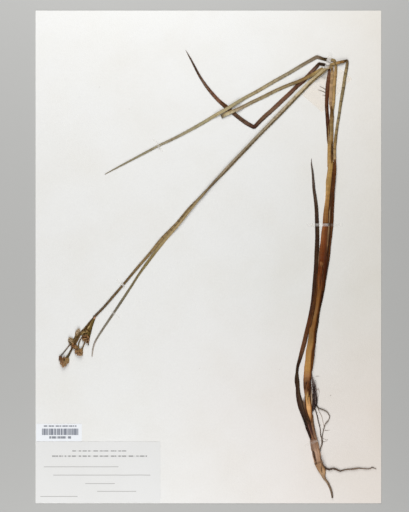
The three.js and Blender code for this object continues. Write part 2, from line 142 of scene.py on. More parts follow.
paper_grain, paper_in = start_group(
    "paper_grain", {"Paper": "Color", "Aged": "Color", "Place": "Vector"}, {"Color": "Color", "Relief": "Float"}
)
fibres = mottle(paper_grain, paper_in["Place"], 1400.0, 4.0)
clouds = mottle(paper_grain, paper_in["Place"], 22.0, 3.0)
cockle = mottle(paper_grain, paper_in["Place"], 14.0, 1.0)
aged = tint(paper_grain, spread(paper_grain, clouds, 0.42, 0.75), paper_in["Paper"], paper_in["Aged"])
speckled = tint(paper_grain, spread(paper_grain, fibres, 0.3, 0.7, 0.05, 0.0), aged, daylight(150, 140, 125))
relief = reckon(paper_grain, "MULTIPLY_ADD", fibres, 0.12, cockle)
put(paper_grain, "NodeGroupOutput", {"Color": speckled, "Relief": relief})


def paper_finish(name, paper, aged, roughness, depth, marks=None):
    """Paper with its grain. marks(tree, place, colour) may print or stain it, and gives the new colour."""
    material, tree, shader = start_finish(name, Roughness=roughness)
    place = own_place(tree)
    inputs = {"Place": place, "Paper": daylight(*paper), "Aged": daylight(*aged)}
    grain = put(tree, "ShaderNodeGroup", inputs, node_tree=paper_grain).outputs
    color = marks(tree, place, grain["Color"]) if marks else grain["Color"]
    join_up(tree, shader, color, grain["Relief"], depth)
    return material


def cut_slip(width, height, thickness, corner, rim):
    """A flat slip of paper or film round the origin, with rounded corners and softened edges."""
    bm = bmesh.new()
    bmesh.ops.create_grid(bm, x_segments=1, y_segments=1, size=0.5)
    bmesh.ops.scale(bm, vec=(width * MM, height * MM, 1), verts=bm.verts)
    bmesh.ops.bevel(
        bm, geom=list(bm.verts), offset=corner * MM, affect="VERTICES", segments=5, profile=0.5, material=-1
    )
    raised = bmesh.ops.extrude_face_region(bm, geom=list(bm.faces))["geom"]
    lifted = [v for v in raised if isinstance(v, bmesh.types.BMVert)]
    bmesh.ops.translate(bm, vec=(0, 0, thickness * MM), verts=lifted)
    bmesh.ops.recalc_face_normals(bm, faces=bm.faces)
    rims = [e for e in bm.edges if e.is_manifold and e.calc_face_angle(0) > 1]
    bmesh.ops.bevel(bm, geom=rims, offset=rim * MM, affect="EDGES", segments=2, profile=0.5, material=-1)
    return bm


def link_mesh(bm, name, material, smooth=True):
    """Makes the finished mesh an object of the scene."""
    for face in bm.faces:
        face.smooth = smooth
    mesh = bpy.data.meshes.new(name)
    bm.to_mesh(mesh)
    bm.free()
    mesh.materials.append(material)
    made = bpy.data.objects.new(name, mesh)
    bpy.context.scene.collection.objects.link(made)
    return made


def set_down(bm, name, material, slot, *nodes, smooth=True):
    """Makes the finished mesh a piece that rides on the specimen and stands for those solids."""
    piece = link_mesh(bm, name, material, smooth)
    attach(piece, "root")
    if nodes:
        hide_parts(*nodes)


def warm(tree, share, color, *light):
    """The colour, dimmed by that light as far as share says."""
    return tint(tree, share, color, tint(tree, 1.0, color, daylight(*light), "MULTIPLY"))


def sheet_ageing_and_shade(tree, place, color):
    """Warms the sheet's right and lower edges, adds painted shade over its right middle, and dots it with a few
    dark specks.
    """
    axes = axes_of(tree, place)
    right = reckon(tree, "POWER", spread(tree, axes["X"], 0.04, 0.15), 1.4)
    color = warm(tree, right, color, 251, 247, 242)
    low = reckon(tree, "MULTIPLY", spread(tree, axes["Y"], -0.03, -0.13), spread(tree, axes["X"], -0.06, 0.08))
    color = warm(tree, low, color, 254, 249, 247)
    # Painted shade: a plain grey dimming in a band across the middle of the sheet's right half.
    level = reckon(tree, "ABSOLUTE", reckon(tree, "ADD", axes["Y"], 0.01))
    middle = reckon(tree, "MULTIPLY", spread(tree, level, 0.13, 0.02), spread(tree, axes["X"], 0.0, 0.08))
    color = warm(tree, middle, color, 250, 250, 249)
    for x, y, size in SHEET_SPECKS:
        speck = Vector((x, y, SHEET_TOP)) * MM
        away = put(tree, "ShaderNodeVectorMath", {0: place, 1: speck}, operation="DISTANCE").outputs["Value"]
        dark = spread(tree, away, size * MM, size * MM * 0.4, 0.0, 0.45)
        color = tint(tree, dark, color, daylight(120, 105, 90))
    return color


sheet_paper = paper_finish("sheet_paper", (243, 243, 241), (240, 239, 235), 0.85, 0.0012, sheet_ageing_and_shade)
sheet = cut_slip(*SHEET_SIZE, SHEET_CORNER, SHEET_RIM)
set_down(sheet, "paper_sheet", sheet_paper, "sheet_paper", "mounting_sheet", smooth=False)

# The collection label in the lower left corner. It is thin, slightly grey paper, gummed down, with a
# printed heading of plain bars and with lines ruled for writing. Nothing is written on it.

LABEL_MIDDLE = (-93.0, -181.7)
LABEL_SIZE = (105, 51.6, 0.12)
LABEL_CORNER = 0.4
LABEL_RIM = 0.04
GUM = 0.02
HEADINGS = [(-163.8, -115.0, -69.0, 0.5), (-168.2, -132.0, -51.8, 0.62)]
WRITING_LINES = [
    (-177.2, -139.0, -76.0), (-184.2, -131.0, -49.0), (-191.4, -104.0, -79.0), (-197.9, -94.0, -61.0),
    (-202.2, -142.0, -110.5),
]


def streaks(tree, along, scale, detail):
    """Noise that changes along one axis only."""
    inputs = {"W": along, "Scale": scale, "Detail": detail}
    return put(tree, "ShaderNodeTexNoise", inputs, noise_dimensions="1D").outputs["Fac"]


def between(tree, value, low, high):
    """1 where the value lies between low and high, in millimetres, and 0 elsewhere."""
    above = reckon(tree, "GREATER_THAN", value, low * MM)
    return reckon(tree, "MULTIPLY", above, reckon(tree, "LESS_THAN", value, high * MM))


def in_box(tree, axes, left, right, low, high):
    """1 inside that box of the sheet, and 0 outside it."""
    return reckon(tree, "MULTIPLY", between(tree, axes["X"], left, right), between(tree, axes["Y"], low, high))


def printed_lines(tree, place, color):
    """The label's heading as broken bars, and its ruled lines."""
    axes = axes_of(tree, place)
    breaks = spread(tree, streaks(tree, axes["X"], 330.0, 2.0), 0.42, 0.5, 0.12, 0.62)
    for y, left, right, half in HEADINGS:
        row = in_box(tree, axes, left, right, y - half, y + half)
        color = tint(tree, reckon(tree, "MULTIPLY", row, breaks), color, daylight(95, 93, 92))
    sway = streaks(tree, axes["X"], 60.0, 1.0)
    for y, left, right in WRITING_LINES:
        drift = reckon(tree, "MULTIPLY_ADD", sway, 0.4 * MM, (y - 0.2) * MM)
        away = reckon(tree, "ABSOLUTE", reckon(tree, "SUBTRACT", axes["Y"], drift))
        row = spread(tree, away, 0.36 * MM, 0.16 * MM, 0.0, 0.6)
        row = reckon(tree, "MULTIPLY", row, between(tree, axes["X"], left, right))
        color = tint(tree, row, color, daylight(120, 116, 112))
    return color


def gum_down(slip, middle):
    """Brings a slip to its place on the sheet, on its film of gum."""
    bmesh.ops.translate(slip, vec=Vector((*middle, SHEET_TOP + GUM)) * MM, verts=slip.verts)


label_paper = paper_finish("label_paper", (236, 236, 235), (233, 233, 231), 0.8, 0.0003, printed_lines)
label = cut_slip(*LABEL_SIZE, LABEL_CORNER, LABEL_RIM)
gum_down(label, LABEL_MIDDLE)
set_down(label, "blank_label", label_paper, "label_paper", "collection_label", smooth=False)

# The small sticker above the label. It is smooth, bluish white, self-adhesive paper with a band of
# upright bars of no meaning printed across its middle.

STICKER_MIDDLE = (-126.2, -148.25)
STICKER_SIZE = (38.6, 14.8, 0.1)
STICKER_CORNER = 0.8
STICKER_RIM = 0.03
BARS = (-140.6, -109.8, -150.4, -144.9)
SMALL_BARS = [(-139.0, -111.0, -143.4, -142.2, 520.0), (-134.4, -116.0, -153.4, -151.4, 380.0)]


def printed_bars(tree, place, color):
    """A band of upright bars of uneven width, with a broken line over it and another under it."""
    axes = axes_of(tree, place)
    bars = spread(tree, streaks(tree, axes["X"], 900.0, 1.0), 0.4, 0.56, 0.3, 0.85)
    inked = reckon(tree, "MULTIPLY", in_box(tree, axes, *BARS), bars)
    color = tint(tree, inked, color, daylight(78, 86, 106))
    for *box, scale in SMALL_BARS:
        breaks = spread(tree, streaks(tree, axes["X"], scale, 1.0), 0.38, 0.5, 0.1, 0.75)
        row = reckon(tree, "MULTIPLY", in_box(tree, axes, *box), breaks)
        color = tint(tree, row, color, daylight(70, 76, 92))
    return color


sticker_paper = paper_finish("sticker_paper", (248, 251, 255), (246, 249, 254), 0.5, 0.0002, printed_bars)
sticker = cut_slip(*STICKER_SIZE, STICKER_CORNER, STICKER_RIM)
gum_down(sticker, STICKER_MIDDLE)
set_down(sticker, "plain_sticker", sticker_paper, "sticker_paper", "catalogue_sticker", smooth=False)

# The film patch under the folds at the upper right. It is a strip of thin clear film, stuck down
# askew, which has yellowed a little and holds a few creases.

FILM_MIDDLE = (100.1, 143.7)
FILM_SIZE = (38, 22.5, 0.05)
FILM_CORNER = 0.6
FILM_RIM = 0.015
FILM_TURN = math.radians(48.8)

clear_film, tree, shader = start_finish("clear_film", Roughness=0.4, IOR=1.45, Alpha=0.1)
place = own_place(tree)
stain = spread(tree, mottle(tree, place, 60.0, 3.0), 0.35, 0.65)
yellowed = tint(tree, stain, daylight(255, 236, 214), daylight(254, 241, 224))
join_up(tree, shader, yellowed, mottle(tree, place, 180.0, 2.0), 0.0003)
film = cut_slip(*FILM_SIZE, FILM_CORNER, FILM_RIM)
bmesh.ops.rotate(film, cent=(0, 0, 0), matrix=Matrix.Rotation(FILM_TURN, 3, "Z"), verts=film.verts)
gum_down(film, FILM_MIDDLE)
set_down(film, "film_strip", clear_film, "clear_film", "film_patch", smooth=False)

# The rush's leaves and its flowering stem. They are hollow and round when alive, and here are dried
# and pressed to flat ribbed strips, folded where they were too long for the sheet. Each is made by
# carrying one cross-section along its route.

LYING = 0.05
EDGE = 0.12
BLADE = 0.35
FOLD_TURN = math.radians(28)
FOLD_MARGIN = 0.2
LEAST_CLOSING = 0.2
LONGEST_MITRE = 1.9
LONGEST_GAP = 1.6
FLATTENED = 0.15
WIDTH_PACE, HEIGHT_PACE, EDGE_PACE = 0.22, 0.3, 0.8
HEIGHT_WANDER = 2.5


def with_lifts(route):
    """A route is points of [x, y, width, lift] in mm. One without a lift lies flat on the paper."""
    return [[*point, LYING][:4] for point in route]


def walk_route(route, step):
    """Places along a route, as (middle, half width sideways, run), close together, with sharp folds."""
    route = with_lifts(route)
    points = [Vector((x, y)) for x, y, *_ in route]
    legs = [b - a for a, b in zip(points, points[1:])]
    last = len(points) - 1
    turns = [0.0] + [legs[i].angle(legs[i + 1]) for i in range(last - 1)] + [0.0]
    folded = [turn > FOLD_TURN for turn in turns]
    slopes = [None] * (last + 1)
    for i in range(1, last):
        if not folded[i]:
            before, after = legs[i - 1], legs[i]
            slopes[i] = (
                before * after.length / before.length + after * before.length / after.length
            ) / (before.length + after.length)
    places = []

    def add_place(middle, along, half, lift):
        side = Vector((along.y, -along.x)).normalized() * half
        places.append([Vector((*middle, lift)), Vector((*side, 0))])

    def fold_places(i):
        """Two places at a fold, which share its inner corner and leave its outer one cut straight."""
        x, y, width, lift = route[i]
        corner = Vector((x, y))
        before, after = legs[i - 1].normalized(), legs[i].normalized()
        outward = (before - after).normalized()
        mitre = min(1 / max((before + after).normalized().dot(after), LEAST_CLOSING), LONGEST_MITRE)
        inner = corner - outward * width / 2 * mitre
        for leg in (before, after):
            side = Vector((leg.y, -leg.x)) * width / 2
            outer = corner + side * math.copysign(1, side.dot(outward))
            half = (outer - inner) / 2 * math.copysign(1, side.dot(outward))
            places.append([Vector((*((outer + inner) / 2), lift)), Vector((*half, 0))])

    def clearance(i):
        """How far from a fold the plain places keep, and 0 where there is no fold."""
        return route[i][2] / 2 * math.tan(turns[i] / 2) + FOLD_MARGIN if folded[i] else 0

    for i, leg in enumerate(legs):
        _, _, width, lift = route[i]
        _, _, next_width, next_lift = route[i + 1]
        a, b, s = points[i], points[i + 1], leg.length
        out = slopes[i] or leg.normalized()
        into = slopes[i + 1] or leg.normalized()
        parts = max(2, round(s / step))
        if folded[i]:
            fold_places(i)
        for k in range(parts):
            t = k / parts
            if t * s < clearance(i) or s - t * s < clearance(i + 1):
                continue
            middle = (
                a * (2 * t**3 - 3 * t**2 + 1) + out * s * (t**3 - 2 * t**2 + t)
                + b * (3 * t**2 - 2 * t**3) + into * s * (t**3 - t**2)
            )
            along = (
                a * (6 * t**2 - 6 * t) + out * s * (3 * t**2 - 4 * t + 1)
                + b * (6 * t - 6 * t**2) + into * s * (3 * t**2 - 2 * t)
            )
            add_place(middle, along, (width + (next_width - width) * t) / 2, lift + (next_lift - lift) * t)
    x, y, width, lift = route[-1]
    add_place((x, y), legs[-1], width / 2, lift)
    filled = [places[0]]
    for place in places[1:]:
        start = filled[-1]
        gaps = int((place[0] - start[0]).length / (step * LONGEST_GAP)) + 1
        for k in range(1, gaps):
            filled.append([start[0].lerp(place[0], k / gaps), start[1].lerp(place[1], k / gaps)])
        filled.append(place)
    run = 0.0
    for i, place in enumerate(filled):
        run += (place[0] - filled[i - 1][0]).length if i else 0.0
        place.append(run)
    return filled


def pressed(turn, ribs, depth):
    """One point of the pressed section, as (across, up): flat below, and domed and ribbed above."""
    across = math.copysign(abs(math.cos(turn)) ** 0.8, math.cos(turn))
    swell = math.sin(turn)
    if swell <= 0:
        return across, FLATTENED * (1 - abs(swell) ** 0.4)
    groove = depth * (0.5 - 0.5 * math.cos(ribs * math.pi * (across + 1))) if ribs else 0
    return across, FLATTENED + (1 - FLATTENED) * swell**0.6 * (1 - groove)


def lay_strand(bm, route, thickest, ratio=BLADE, around=20, ribs=3, depth=0.25, step=1.3, wander=0.03, seed=0,
               section=pressed, lot=0.5):
    """Adds a strand to the mesh by extruding its section along the route.

    thickest and ratio give its height from its width, wander how uneven it is, and lot is the mark by
    which the strands of one mesh may differ in colour.
    """
    floats, whole_numbers = bm.verts.layers.float, bm.verts.layers.int
    marks = {name: floats.get(name) or floats.new(name) for name in ("run", "across", "share", "side", "lot")}
    slot = whole_numbers.get("slot") or whole_numbers.new("slot")
    places = walk_route(route, step)
    whole = places[-1][2]
    ring = bmesh.ops.create_circle(bm, cap_ends=True, segments=around, radius=1)["verts"]
    for number, vert in enumerate(ring):
        vert[slot] = number
    face = ring[0].link_faces[0]
    for number, (middle, half, run) in enumerate(places):
        if number:
            grown = bmesh.ops.extrude_face_region(bm, geom=[face])["geom"]
            ring = [v for v in grown if isinstance(v, bmesh.types.BMVert)]
            face = next(f for f in grown if isinstance(f, bmesh.types.BMFace))
        width = half.length * 2
        uneven = 1 + wander * noise.noise((run * WIDTH_PACE, seed * 7.3, 0.4))
        bulge = 1 + HEIGHT_WANDER * wander * noise.noise((run * HEIGHT_PACE, seed * 3.1, 5.7))
        rise = min(thickest, EDGE + ratio * width) * bulge
        for vert in ring:
            across, up = section(vert[slot] * 2 * math.pi / around, ribs, depth)
            ragged = 1 + wander * noise.noise((run * EDGE_PACE, seed * 5.9, 3 * across))
            at = middle + half * across * uneven * ragged
            vert.co = Vector((at.x, at.y, SHEET_TOP + middle.z + up * rise)) * MM
            vert[marks["run"]] = run * MM
            vert[marks["across"]] = across * half.length * MM
            vert[marks["share"]] = run / whole
            vert[marks["side"]] = across * 0.5 + 0.5
            vert[marks["lot"]] = lot


def set_strands(bm, name, material, slot, *nodes, smooth=True):
    """Sets down a mesh of strands, with all its faces turned outwards."""
    bmesh.ops.recalc_face_normals(bm, faces=bm.faces)
    set_down(bm, name, material, slot, *nodes, smooth=smooth)


dry_tissue, tissue_in = start_group(
    "dry_tissue",
    {"Tone": "Color", "Shadow": "Color", "Run": "Float", "Across": "Float", "Seed": "Float", "Veins": "Float",
     "Joints": "Float"},
    {"Color": "Color", "Relief": "Float", "Roughness": "Float"},
)


def tissue_noise(across_scale, run_scale, detail):
    """Noise stretched along the strand."""
    across = reckon(dry_tissue, "MULTIPLY", tissue_in["Across"], across_scale)
    run = reckon(dry_tissue, "MULTIPLY", tissue_in["Run"], run_scale)
    vector = put(dry_tissue, "ShaderNodeCombineXYZ", {"X": across, "Y": run, "Z": tissue_in["Seed"]})
    return mottle(dry_tissue, vector.outputs["Vector"], 1.0, detail)


def darken(share, under):
    """The strand's shadow colour, laid over a colour by share."""
    return tint(dry_tissue, share, under, tissue_in["Shadow"])


veins = tissue_noise(3200.0, 45.0, 2.0)
blotches = tissue_noise(420.0, 130.0, 3.0)
flecks = tissue_noise(1500.0, 700.0, 2.0)
joint_rows = spread(dry_tissue, tissue_noise(30.0, 420.0, 0.0), 0.6, 0.68)
# The veins' noise also raises the relief: its grooves get painted shade and its ridges a painted highlight, over
# the tissue's own dark and pale veining.
grooves = reckon(dry_tissue, "MULTIPLY", spread(dry_tissue, veins, 0.5, 0.32), tissue_in["Veins"])
ridges = reckon(dry_tissue, "MULTIPLY", spread(dry_tissue, veins, 0.55, 0.75), tissue_in["Veins"])
pale_vein_and_highlight = tint(dry_tissue, 0.22, tissue_in["Tone"], daylight(235, 200, 140))
veined_with_light_and_shade = tint(dry_tissue, ridges, darken(grooves, tissue_in["Tone"]), pale_vein_and_highlight)
blotched = darken(spread(dry_tissue, blotches, 0.55, 0.78, 0.0, 0.5), veined_with_light_and_shade)
flecked = darken(spread(dry_tissue, flecks, 0.64, 0.76, 0.0, 0.35), blotched)
jointed = darken(reckon(dry_tissue, "MULTIPLY", joint_rows, tissue_in["Joints"]), flecked)
ribbed = reckon(dry_tissue, "MULTIPLY_ADD", veins, 0.7, reckon(dry_tissue, "MULTIPLY", blotches, 0.5))
ringed = reckon(dry_tissue, "MULTIPLY", tissue_in["Joints"], 0.4)
tissue_relief = reckon(dry_tissue, "MULTIPLY_ADD", joint_rows, ringed, ribbed)
tissue_roughness = spread(dry_tissue, veins, 0.3, 0.7, 0.5, 0.75)
put(dry_tissue, "NodeGroupOutput", {"Color": jointed, "Relief": tissue_relief, "Roughness": tissue_roughness})


def ramp(tree, value, stops):
    """A run of colours, given as (place, colour)."""
    made = put(tree, "ShaderNodeValToRGB", {"Fac": value})
    colors = made.color_ramp
    stops = sorted(stops, key=lambda stop: stop[0])
    colors.elements[0].position, colors.elements[0].color = stops[0]
    colors.elements[1].position, colors.elements[1].color = stops[-1]
    for place, color in stops[1:-1]:
        colors.elements.new(place).color = color
    return made.outputs["Color"]


def shades(picks):
    """Stops for a run of colours, each given as (place, lightness) or (place, red, green, blue)."""
    return [(place, daylight(*(levels * 3 if len(levels) == 1 else levels))) for place, *levels in picks]


def mark_of(tree, name):
    """What lay_strand marked on the points: run, across, share, side or lot."""
    return put(tree, "ShaderNodeAttribute", attribute_name=name).outputs["Fac"]


def tissue_finish(name, tones, shadow, sides=None, veins=0.6, joints=0.0, seed=0.0, depth=0.00012, by="share"):
    """Dry plant tissue. tones are its colours along the strand, and sides darken or tint it from edge to edge."""
    material, tree, shader = start_finish(name, Specular_IOR_Level=0.1)
    tone = ramp(tree, mark_of(tree, by), shades(tones))
    # sides is partly the tissue's own colour across the strand and partly painted shade along its edges.
    if sides:
        tone = tint(tree, 1.0, tone, ramp(tree, mark_of(tree, "side"), shades(sides)), "MULTIPLY")
    inputs = {
        "Tone": tone, "Shadow": daylight(*shadow), "Run": mark_of(tree, "run"), "Across": mark_of(tree, "across"),
        "Seed": seed, "Veins": veins, "Joints": joints,
    }
    tissue = put(tree, "ShaderNodeGroup", inputs, node_tree=dry_tissue).outputs
    join_up(tree, shader, tissue["Color"], tissue["Relief"], depth, tissue["Roughness"])
    return material


def tones_at(route, picks):
    """Tones by share of a route, each pick being (number of a point, red, green, blue)."""
    places = [Vector((x, y, lift)) for x, y, _, lift in with_lifts(route)]
    runs = [0.0]
    for a, b in zip(places, places[1:]):
        runs.append(runs[-1] + (b - a).length)
    return [(runs[number] / runs[-1], *color) for number, *color in picks]


def lay_piece(name, route, thickest, tones, shadow, sides, slot, veins=0.6, joints=0.0, around=20, ribs=3,
              depth=0.25, wander=0.035, nodes=None):
    """Lays one strand as the piece that stands for the solid of its name, or for those in nodes."""
    number = len(bpy.data.materials)
    tones = tones_at(route, tones)
    finish = tissue_finish(f"{name}_tissue", tones, shadow, sides, veins, joints, seed=number * 1.7)
    bm = bmesh.new()
    lay_strand(bm, route, thickest, around=around, ribs=ribs, depth=depth, wander=wander, seed=number)
    set_strands(bm, f"{name}_dried", finish, slot, *((name,) if nodes is None else nodes))


# The flowering stem. It comes up from the dark side sheath, is folded at the upper right corner, and
# runs down across the sheet to the flower cluster, olive and jointed above and browner below.

lay_piece(
    "flowering_stem",
    route=[
        [105.2, 56.6, 1.7], [106.1, 69.3, 1.9], [106.8, 81.9, 2.3], [106.6, 90.4, 2.6], [107.3, 99.3, 2.7],
        [109.2, 113.3, 2.4], [110.4, 120.4, 2.4], [111.3, 127.4, 2.6, 0.15], [112.5, 134.7, 2.9, 0.15],
        [114.1, 144.0, 2.7, 0.15], [114.8, 149.3, 2.8, 0.15], [116.0, 156.2, 2.7, 0.15],
        [117.0, 161.7, 2.5, 0.2], [117.3, 165.9, 2.1, 0.3], [112.2, 164.5, 2.6, 0.95],
        [106.7, 163.2, 2.6, 0.95], [102.9, 161.8, 2.6, 0.95], [99.2, 158.1, 2.4, 0.95],
        [93.8, 153.6, 2.2, 0.95], [87.5, 148.0, 2.2, 0.1], [80.2, 140.6, 2.2], [60.9, 120.6, 2.2],
        [44.1, 103.5, 1.9], [29.4, 88.0, 1.8], [14.7, 72.5, 1.8], [6.8, 64.6, 1.7], [-0.3, 57.5, 1.9],
        [-7.9, 49.6, 1.9], [-15.7, 41.6, 2.1], [-26.3, 28.9, 2.2], [-40.5, 13.9, 2.8], [-49.2, 3.2, 2.4],
        [-59.5, -8.6, 2.2], [-72.3, -23.9, 1.9], [-81.6, -34.7, 2.1], [-88.3, -42.4, 1.9],
        [-95.9, -50.2, 2.1], [-97.0, -51.3, 2.0, 0.1],
    ],
    thickest=0.8,
    tones=[(0, 116, 86, 38), (2, 200, 168, 124), (3, 182, 148, 98), (4, 150, 122, 76), (5, 164, 144, 104),
           (8, 152, 134, 98), (11, 158, 138, 98), (12, 142, 120, 84), (13, 78, 60, 40), (14, 160, 118, 66),
           (15, 200, 166, 112), (17, 160, 134, 84), (20, 138, 120, 82), (24, 136, 116, 86), (26, 116, 96, 64),
           (28, 156, 130, 92), (31, 164, 138, 96), (33, 120, 96, 64), (35, 106, 88, 66), (36, 108, 88, 68),
           (37, 92, 58, 44)],
    shadow=(70, 52, 24),
    sides=[(0.0, 215), (0.25, 255), (0.7, 240), (1.0, 200)],
    slot="olive_stem",
    joints=0.5,
)

# The long leaf. It lies over the flowering stem along the diagonal as a paler strip, and ends in a
# thin grey tip beside the flower cluster.

lay_piece(
    "long_leaf",
    route=[
        [104.0, 121.8, 1.6, 0.2], [103.5, 127.0, 2.4, 0.15], [103.2, 130.1, 2.7, 0.15],
        [103.5, 140.5, 2.9, 0.15], [104.0, 149.5, 2.9, 0.15], [104.5, 155.4, 2.6, 0.15],
        [104.6, 157.9, 2.2, 0.5], [103.7, 160.3, 2.4, 1.9], [98.5, 158.8, 2.2, 1.9], [93.2, 154.4, 2.2, 1.9],
        [86.4, 148.8, 2.2, 1.05], [79.3, 141.5, 2.2, 0.95], [60.0, 121.5, 2.2, 0.95],
        [43.3, 104.2, 2.0, 0.95], [28.5, 88.8, 1.9, 0.95], [13.8, 73.4, 1.9, 0.95], [6.8, 65.6, 1.7, 0.95],
        [0.6, 58.6, 1.8, 0.95], [-4.4, 52.6, 1.9, 0.95], [-9.0, 47.5, 1.8, 0.95], [-15.2, 40.0, 2.0, 0.95],
        [-25.1, 27.5, 2.0, 0.85], [-36.6, 14.6, 2.7], [-45.1, 3.8, 2.5], [-53.1, -6.9, 2.4],
        [-58.1, -13.8, 1.9], [-64.0, -23.0, 1.9], [-74.6, -39.2, 2.0], [-84.6, -54.2, 1.8],
        [-89.6, -61.6, 1.6], [-93.6, -67.9, 1.5], [-96.1, -72.7, 1.4], [-97.4, -77.1, 1.3],
        [-98.3, -83.9, 1.0],
    ],
    thickest=0.5,
    tones=[(0, 120, 98, 72), (2, 184, 150, 116), (5, 190, 156, 112), (6, 146, 110, 70), (8, 186, 164, 116),
           (10, 224, 206, 168), (12, 188, 172, 146), (13, 168, 156, 132), (15, 170, 154, 130),
           (16, 134, 120, 96), (17, 120, 102, 76), (18, 160, 142, 106), (21, 190, 166, 122),
           (24, 146, 130, 86), (27, 118, 112, 94), (30, 144, 138, 126), (31, 172, 162, 154),
           (33, 188, 180, 172)],
    shadow=(96, 74, 44),
    sides=[(0.0, 250, 240, 225), (0.3, 255), (0.8, 245), (1.0, 215)],
    slot="olive_leaf",
    joints=0.25,
)

# The upper leaf. It is golden where it rises beside the long leaf and pale olive past its fold at the
# top, and it narrows to a fine tip at the far left.

lay_piece(
    "upper_leaf",
    route=[
        [104.9, 121.0, 1.6, 0.2], [105.3, 127.0, 2.3, 0.2], [105.6, 130.1, 2.6, 0.2],
        [106.1, 140.5, 2.8, 0.2], [106.7, 149.5, 2.8, 0.2], [107.4, 156.2, 2.7, 0.2],
        [107.5, 161.3, 2.3, 0.15], [106.5, 165.9, 2.4, 0.15], [103.0, 166.6, 2.8, 0.1],
        [99.0, 166.8, 2.7, 0.1], [97.1, 167.2, 2.6, 0.07], [95.0, 167.9, 2.7], [91.6, 169.0, 2.9],
        [80.0, 162.5, 2.9], [69.6, 156.2, 2.9], [55.4, 148.2, 2.9], [41.6, 140.1, 2.9], [30.9, 134.3, 2.9],
        [25.4, 131.1, 2.9, 0.7], [16.6, 125.7, 2.9, 0.7], [7.6, 120.6, 2.9, 0.7], [3.0, 117.9, 2.9],
        [-2.4, 114.6, 2.8], [-15.6, 107.1, 2.6], [-31.3, 99.0, 2.2], [-41.6, 94.2, 2.0], [-53.9, 87.7, 1.8],
        [-74.7, 76.7, 1.2], [-87.5, 69.8, 0.4],
    ],
    thickest=0.6,
    tones=[(0, 120, 100, 70), (2, 196, 160, 106), (5, 176, 140, 92), (6, 178, 148, 98), (8, 164, 142, 102),
           (9, 56, 40, 26), (10, 32, 22, 16), (11, 98, 78, 58), (12, 142, 124, 106), (14, 178, 166, 140),
           (16, 186, 168, 130), (18, 180, 168, 132), (20, 204, 186, 144), (22, 178, 168, 132),
           (24, 178, 166, 140), (26, 164, 156, 128), (28, 146, 132, 104)],
    shadow=(104, 84, 48),
    sides=[(0.0, 235), (0.25, 255), (0.75, 235), (1.0, 205)],
    slot="pale_leaf",
    joints=0.2,
)

# The cut stem. It starts under the top strap, passes over the withered leaf, and ends in a slanted cut
# by the crossing with the upper leaf.

lay_piece(
    "cut_stem",
    route=[
        [96.8, 159.0, 2.9, 0.15], [93.4, 157.3, 3.0, 0.15], [90.3, 155.3, 2.9, 0.75],
        [80.1, 150.0, 2.9, 0.75], [74.5, 147.6, 2.9, 0.75], [70.0, 146.0, 2.9], [58.6, 141.2, 2.9],
        [46.5, 135.2, 2.9], [36.8, 130.6, 2.9], [30.0, 127.1, 2.9], [26.1, 125.2, 2.9, 0.75],
        [20.0, 122.7, 2.9, 0.75], [15.3, 120.7, 2.9, 0.75], [10.9, 118.2, 2.8, 0.2],
    ],
    thickest=0.6,
    tones=[(0, 170, 146, 90), (1, 214, 190, 138), (2, 208, 180, 122), (3, 150, 120, 76), (5, 152, 134, 100),
           (6, 172, 156, 120), (8, 176, 162, 130), (10, 176, 158, 132), (12, 230, 214, 172),
           (13, 92, 78, 60)],
    shadow=(92, 64, 28),
    sides=[(0.0, 250), (0.5, 245), (0.75, 212, 202, 186), (1.0, 165, 148, 126)],
    slot="cut_stem",
    joints=0.2,
)

# The withered leaf. It is thin and dark red-brown, nearly black at its folds, and it goes up behind the
# stalk, down to a sharp fold, and up again to a grey tip.

lay_piece(
    "withered_leaf",
    route=[
        [101.2, 92.6, 0.3], [100.9, 98.2, 1.7], [101.0, 104.7, 2.6], [100.9, 111.5, 3.3], [100.4, 118.6, 3.2],
        [99.9, 125.6, 3.0, 0.15], [99.9, 132.6, 3.1, 0.15], [100.2, 137.1, 3.4, 0.15],
        [100.7, 144.0, 3.6, 0.15], [101.6, 151.0, 3.6, 0.15], [101.9, 156.7, 2.2, 0.15],
        [101.9, 158.9, 2.0, 0.15], [98.3, 162.3, 2.4, 0.15], [93.5, 163.0, 2.8, 0.1], [87.0, 156.1, 3.3],
        [80.6, 149.2, 3.7], [75.5, 144.8, 3.5], [68.4, 137.8, 3.6], [60.9, 130.8, 3.6], [53.8, 124.1, 3.6],
        [46.0, 117.1, 3.6], [38.6, 109.5, 3.3], [32.0, 113.2, 3.6], [24.0, 119.1, 3.3], [14.2, 127.3, 3.6],
        [9.2, 131.6, 3.1], [3.0, 138.2, 2.9], [-3.3, 146.4, 2.5], [-8.2, 154.1, 2.0], [-11.8, 161.0, 1.7],
        [-15.5, 168.1, 1.3], [-19.3, 174.7, 0.3],
    ],
    thickest=0.5,
    tones=[(0, 108, 66, 42), (2, 78, 44, 22), (4, 78, 38, 14), (7, 92, 48, 20), (9, 116, 76, 52),
           (10, 124, 90, 72), (11, 70, 44, 30), (12, 18, 10, 6), (13, 46, 30, 18), (14, 138, 108, 92),
           (15, 100, 66, 50), (18, 134, 98, 78), (19, 136, 108, 86), (21, 76, 46, 36), (22, 104, 82, 68),
           (24, 96, 66, 44), (25, 128, 90, 68), (27, 108, 84, 70), (29, 84, 66, 54), (31, 138, 124, 110)],
    shadow=(48, 22, 10),
    sides=[(0.0, 200, 190, 185), (0.35, 255), (0.7, 235, 215, 200), (1.0, 215)],
    slot="dead_leaf",
    veins=0.8,
)

# The basal leaf. It stands to the left of the stalk, brown and stiff, pinched above the foot, and it
# ends in the sheath at the foot.

